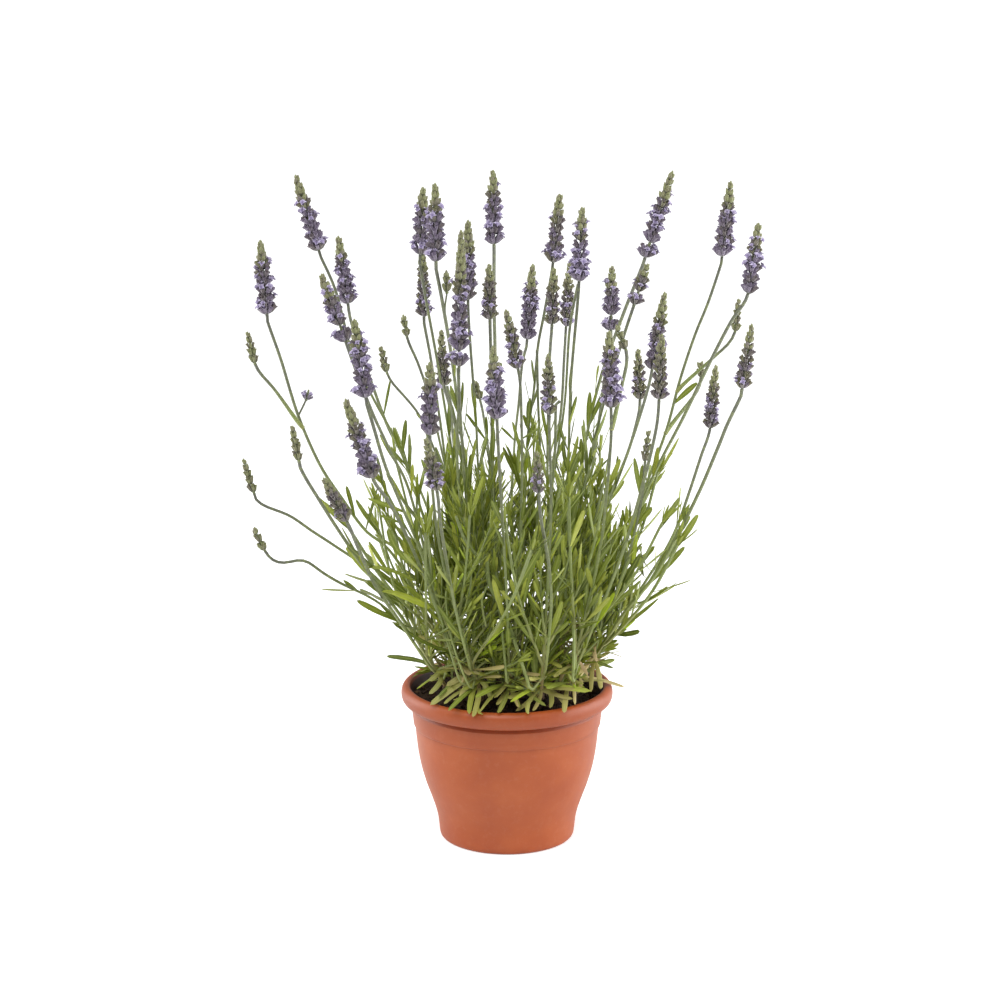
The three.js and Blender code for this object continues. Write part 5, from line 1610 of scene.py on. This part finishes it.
# Old flower stalks, cut or faded, that run bare and pale down the front of the bush: the depth and half
# width of each, and the places it passes in the front view.
OLD_STALKS = [
    (-84, 1.25, [(487, 560), (489, 583), (497, 600), (508, 622), (519, 655), (527, 679), (531, 690)]),
    (-83, 0.9, [(489, 583), (482, 598), (483, 612), (486, 626)]),
    (-76, 1.1, [(568, 510), (569, 545), (565, 590), (570, 607), (573, 620), (574, 650), (573, 682)]),
    (-60, 0.9, [(520, 560), (520, 600), (518, 650), (517, 684)]),
    (-80, 0.9, [(456, 516), (465, 540), (480, 560), (497, 600), (503, 640), (507, 684)]),
    (-72, 0.9, [(424, 560), (433, 600), (441, 620), (450, 650), (462, 684)]),
    (-78, 0.8, [(467, 576), (456, 583), (446, 592), (452, 640), (470, 688)]),
    (-66, 1.0, [(510, 672), (528, 684), (540, 694)]),
    (-40, 0.85, [(458, 368), (459, 400), (457, 450), (460, 500), (466, 560)]),
    (20, 0.85, [(447, 386), (452, 410), (462, 460), (470, 520), (478, 560)]),
    (40, 0.85, [(537, 350), (538, 400), (540, 450), (538, 500), (534, 560)]),
    (-30, 0.85, [(560, 401), (556, 405), (555, 450), (551, 500), (546, 560)]),
    (30, 0.8, [(603, 394), (596, 440), (586, 480), (575, 520), (560, 570)]),
    (-20, 0.8, [(611, 408), (610, 450), (602, 490), (592, 530), (580, 570)]),
    (10, 0.8, [(424, 424), (437, 470), (452, 520), (466, 570), (476, 610)]),
    (70, 0.8, [(578, 284), (573, 308), (569, 336), (565, 400), (558, 450), (550, 500), (540, 560)]),
]
# Small side spikes and single flowers off the stalks: the form, and in the front view the tip, the foot
# and where its stem joins a stalk.
LONE_SPIKES = [
    (BUD, (446, 271), (447, 293), (443, 322)), (SMALL, (309, 389), (306, 400), (299, 415)),
    (SMALL, (457, 507), (457, 518), (462, 536)),
]
old_stalk_sets = [[] for _ in SPRIGS]
for depth, half, places in OLD_STALKS:
    points = [seen(place, depth) for place in places]
    index, near = stem_near(points[-1])
    if len(places) > 4:
        points.append(near)
    old_stalk_sets[index].append((Line(points), half))


lone_sets = [[] for _ in SPRIGS]
for form, tip, foot, joint in LONE_SPIKES:
    nearest = np.argmin(np.linalg.norm(stem_view - joint, axis=1))
    start = stem_points[nearest]
    stalk = Stalk(form, start[1], tip, foot, ())
    half_way = ((joint[0] + foot[0]) / 2, (joint[1] + foot[1]) / 2)
    path = Line([start, seen(half_way, start[1]), seen(foot, start[1])])
    lone_sets[stem_sprigs[nearest]].append((stalk, path))


def sprout_slender(share):
    """Half the width of a sprout, which tapers evenly."""
    return 0.95 - 0.35 * share


for index, sprig in enumerate(SPRIGS):
    main = mains[index]
    parts = [leaf_part(leaf_sets[index]), stem_part(main, None, slender, 6, (0.0, 1.0))]
    for fork in side_sets[index]:
        parts.append(stem_part(fork["line"], fork["start"], side_slender, 6, (0.15, 1.0)))
    for fork in shoot_sets[index]:
        parts.append(stem_part(fork["line"], fork["start"], side_slender, 7, (0.1, 0.5)))
    for sprout in sprout_sets[index]:
        parts.append(stem_part(sprout["line"], sprout["start"], sprout_slender, 7, (0.15, 0.5)))
    for line, half in old_stalk_sets[index]:
        top_tone = np.interp(line.at(0)[0][2], [250, 420], [0.35, 0.9])
        parts.append(stem_part(line, None, lambda share: half, 6, (top_tone, 0.25)))
    for _, path in lone_sets[index]:
        parts.append(stem_part(path, None, lambda share: 0.5, 4, (0.8, 1.0)))
    for stalk in [*sprig.stalks, *(stalk for stalk, _ in lone_sets[index])]:
        if stalk.form is BUD:
            made, _, core = spike(stalk, BUD["ripe"], 2)
            parts += [*made, stem_part(core, None, spike_core, 4, (0.6, 0.6))]
    piece = new_piece("leafy_" + sprig.name, gather(parts), [stem_skin, leaf_skin, calyx_skin], 55)
    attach(piece, "root")
    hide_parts("sprig_" + sprig.name)


# Flower heads
# Each open spike sits on the end of its stalk: whorls of dusky purple calyces, from some of which a pale
# violet two-lipped flower has opened, and grey-green buds above. The flowers are thin and silky.

# The length of a flower of a large head, and how far out and up each of its eight corners goes: the
# larger ones are lobes, which turn down.
PETAL_LENGTH = 7.0
# A single flower off a stalk is this many times as ripe as a head of its form.
LONE_RIPE = 6
FLOWER = turned([(0, 0), (0.13, 0.04), (0.15, 0.34), (0.52, 0.5), (0, 0.3)], 8)
LOBES = np.array([1.15, 0.6, 1.0, 0.55, 0.85, 0.6, 1.05, 0.55])
FLOWER["points"][16:24, :2] *= LOBES[:, None]
FLOWER["points"][16:24, 2] += 0.10 - 0.16 * (LOBES > 0.8)
FLOWER["along"] = np.append(np.repeat([0.0, 0.4, 1.0], 8), [0, 0.1])

# Petals: silky, pale violet, a little darker in the throat and along the veins.
petal_skin, shader, place = new_material("silky violet petal", 0.5)
shader.inputs["Sheen Weight"].default_value = 0.2
violet = ramped(petal_skin, "along", [(0.1, "#7F739A"), (0.6, "#AC9FC4"), (1.0, "#D2CAE0")])
petal_colour = spotted(petal_skin, place, violet, "#9A90AE", 2, 2.0, 0.5, low=0.45, high=0.7, most=0.5)
join(shader, {"Base Color": (petal_colour, "Result_Color")})

for index, sprig in enumerate(SPRIGS):
    open_stalks = [stalk for stalk in sprig.stalks if stalk.form is not BUD]
    lone = [stalk for stalk, _ in lone_sets[index] if stalk.form is not BUD]
    parts = []
    for stalk in [*open_stalks, *lone]:
        most = stalk.form["ripe"] * growth.uniform(0.75, 1.1) * (LONE_RIPE if stalk in lone else 1)
        made, (places, ups, sizes), core = spike(stalk, most, 1)
        mouths = places + ups * (0.8 * sizes)[:, None]
        scale = PETAL_LENGTH * sizes / LARGE["calyx"] * growth.uniform(0.8, 1.15, len(mouths))
        outwards = ups + np.array([0, 0, 0.12]) + growth.normal(0, 0.15, (len(mouths), 3))
        parts += [
            *made,
            stem_part(core, None, spike_core, 4, (0.9, 0.5)),
            placed(FLOWER, mouths, outwards, scale, growth.uniform(0, 1, len(mouths)), 2),
        ]
    if open_stalks:
        piece = new_piece("flowers_" + sprig.name, gather(parts), [stem_skin, calyx_skin, petal_skin], 60)
        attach(piece, "root")
        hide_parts(*(f"head_{sprig.name}_{k + 1}" for k in range(len(open_stalks))))


# Studio
# A plain near-white floor under a very soft high light from the front left, and a large lit screen on
# either side, a little behind, that gives the pot its pale edges. The room behind is white.

FLOOR_RADIUS = 40000
FLOOR_CORNERS = 64
paper, shader, place = new_material("matt white studio floor", 0.9)
shader.inputs["Base Color"].default_value = linear("#F4F4F4")
# The camera sees the floor a little lighter than it lights the plant, as in a cut-out studio picture.
glow = add(paper, "MapRange", {"To Max": 0.4}, {"Value": (add(paper, "LightPath", {}, {}), "Is Camera Ray")})
shader.inputs["Emission Color"].default_value = (1, 1, 1, 1)
join(shader, {"Emission Strength": (glow, "Result")})
floor_ring = np.arange(FLOOR_CORNERS) * TURN / FLOOR_CORNERS
floor_points = np.stack([np.cos(floor_ring), np.sin(floor_ring), 0 * floor_ring], -1) * FLOOR_RADIUS
floor = new_piece("studio_floor", {
    "points": np.vstack([floor_points, [[0, 0, 0]]]),
    "faces": fan_faces(0, FLOOR_CORNERS, FLOOR_CORNERS, True),
}, [paper])

PLANT_MIDDLE = np.array([0, 0, 300])


def light(name, kind, at, power):
    """A lamp at a place in mm that faces the middle of the plant."""
    lamp = bpy.data.lights.new(name, kind)
    lamp.energy = power
    holder = bpy.data.objects.new(name, lamp)
    holder.location = np.array(at) * MM
    holder.rotation_euler = Vector(PLANT_MIDDLE - np.array(at)).to_track_quat("-Z", "Y").to_euler()
    bpy.context.scene.collection.objects.link(holder)
    return lamp


high_light = light("high_light", "SUN", (-520, -1250, 2700), 2.0)
high_light.angle = math.radians(50)
# Two large screens of one height: width, place and power.
SCREEN_HEIGHT = 1300
SCREENS = {"left": (900, (-1130, 400, 450), 12), "right": (1400, (1200, 100, 450), 19.5)}
for name, (width, at, power) in SCREENS.items():
    screen = light(name + "_screen", "AREA", at, power)
    screen.shape = "RECTANGLE"
    screen.size = width * MM
    screen.size_y = SCREEN_HEIGHT * MM

# The room lights the plant less than it shows to the camera, so that the bush keeps its depth.
world = bpy.data.worlds.new("white studio")
world.use_nodes = True
background = world.node_tree.nodes["Background"]
background.inputs["Color"].default_value = (1, 1, 1, 1)
ray = add(world, "LightPath", {}, {})
strength = add(world, "MapRange", {"To Min": 0.45, "To Max": 1.0}, {"Value": (ray, "Is Camera Ray")})
join(background, {"Strength": (strength, "Result")})
bpy.context.scene.world = world
bpy.context.scene.view_settings.view_transform = "Standard"

# The camera stands at the eye of the front view. The frame is 1000 wide, and the sensor 36 mm.
SENSOR = 36
camera = bpy.data.objects.new("camera", bpy.data.cameras.new("camera"))
camera.data.sensor_width = SENSOR
camera.data.lens = FOCAL * SENSOR / (2 * MIDDLE)
camera.location = EYE * MM
camera.rotation_euler = Vector(AIM - EYE).to_track_quat("-Z", "Y").to_euler()
bpy.context.scene.collection.objects.link(camera)
bpy.context.scene.camera = camera
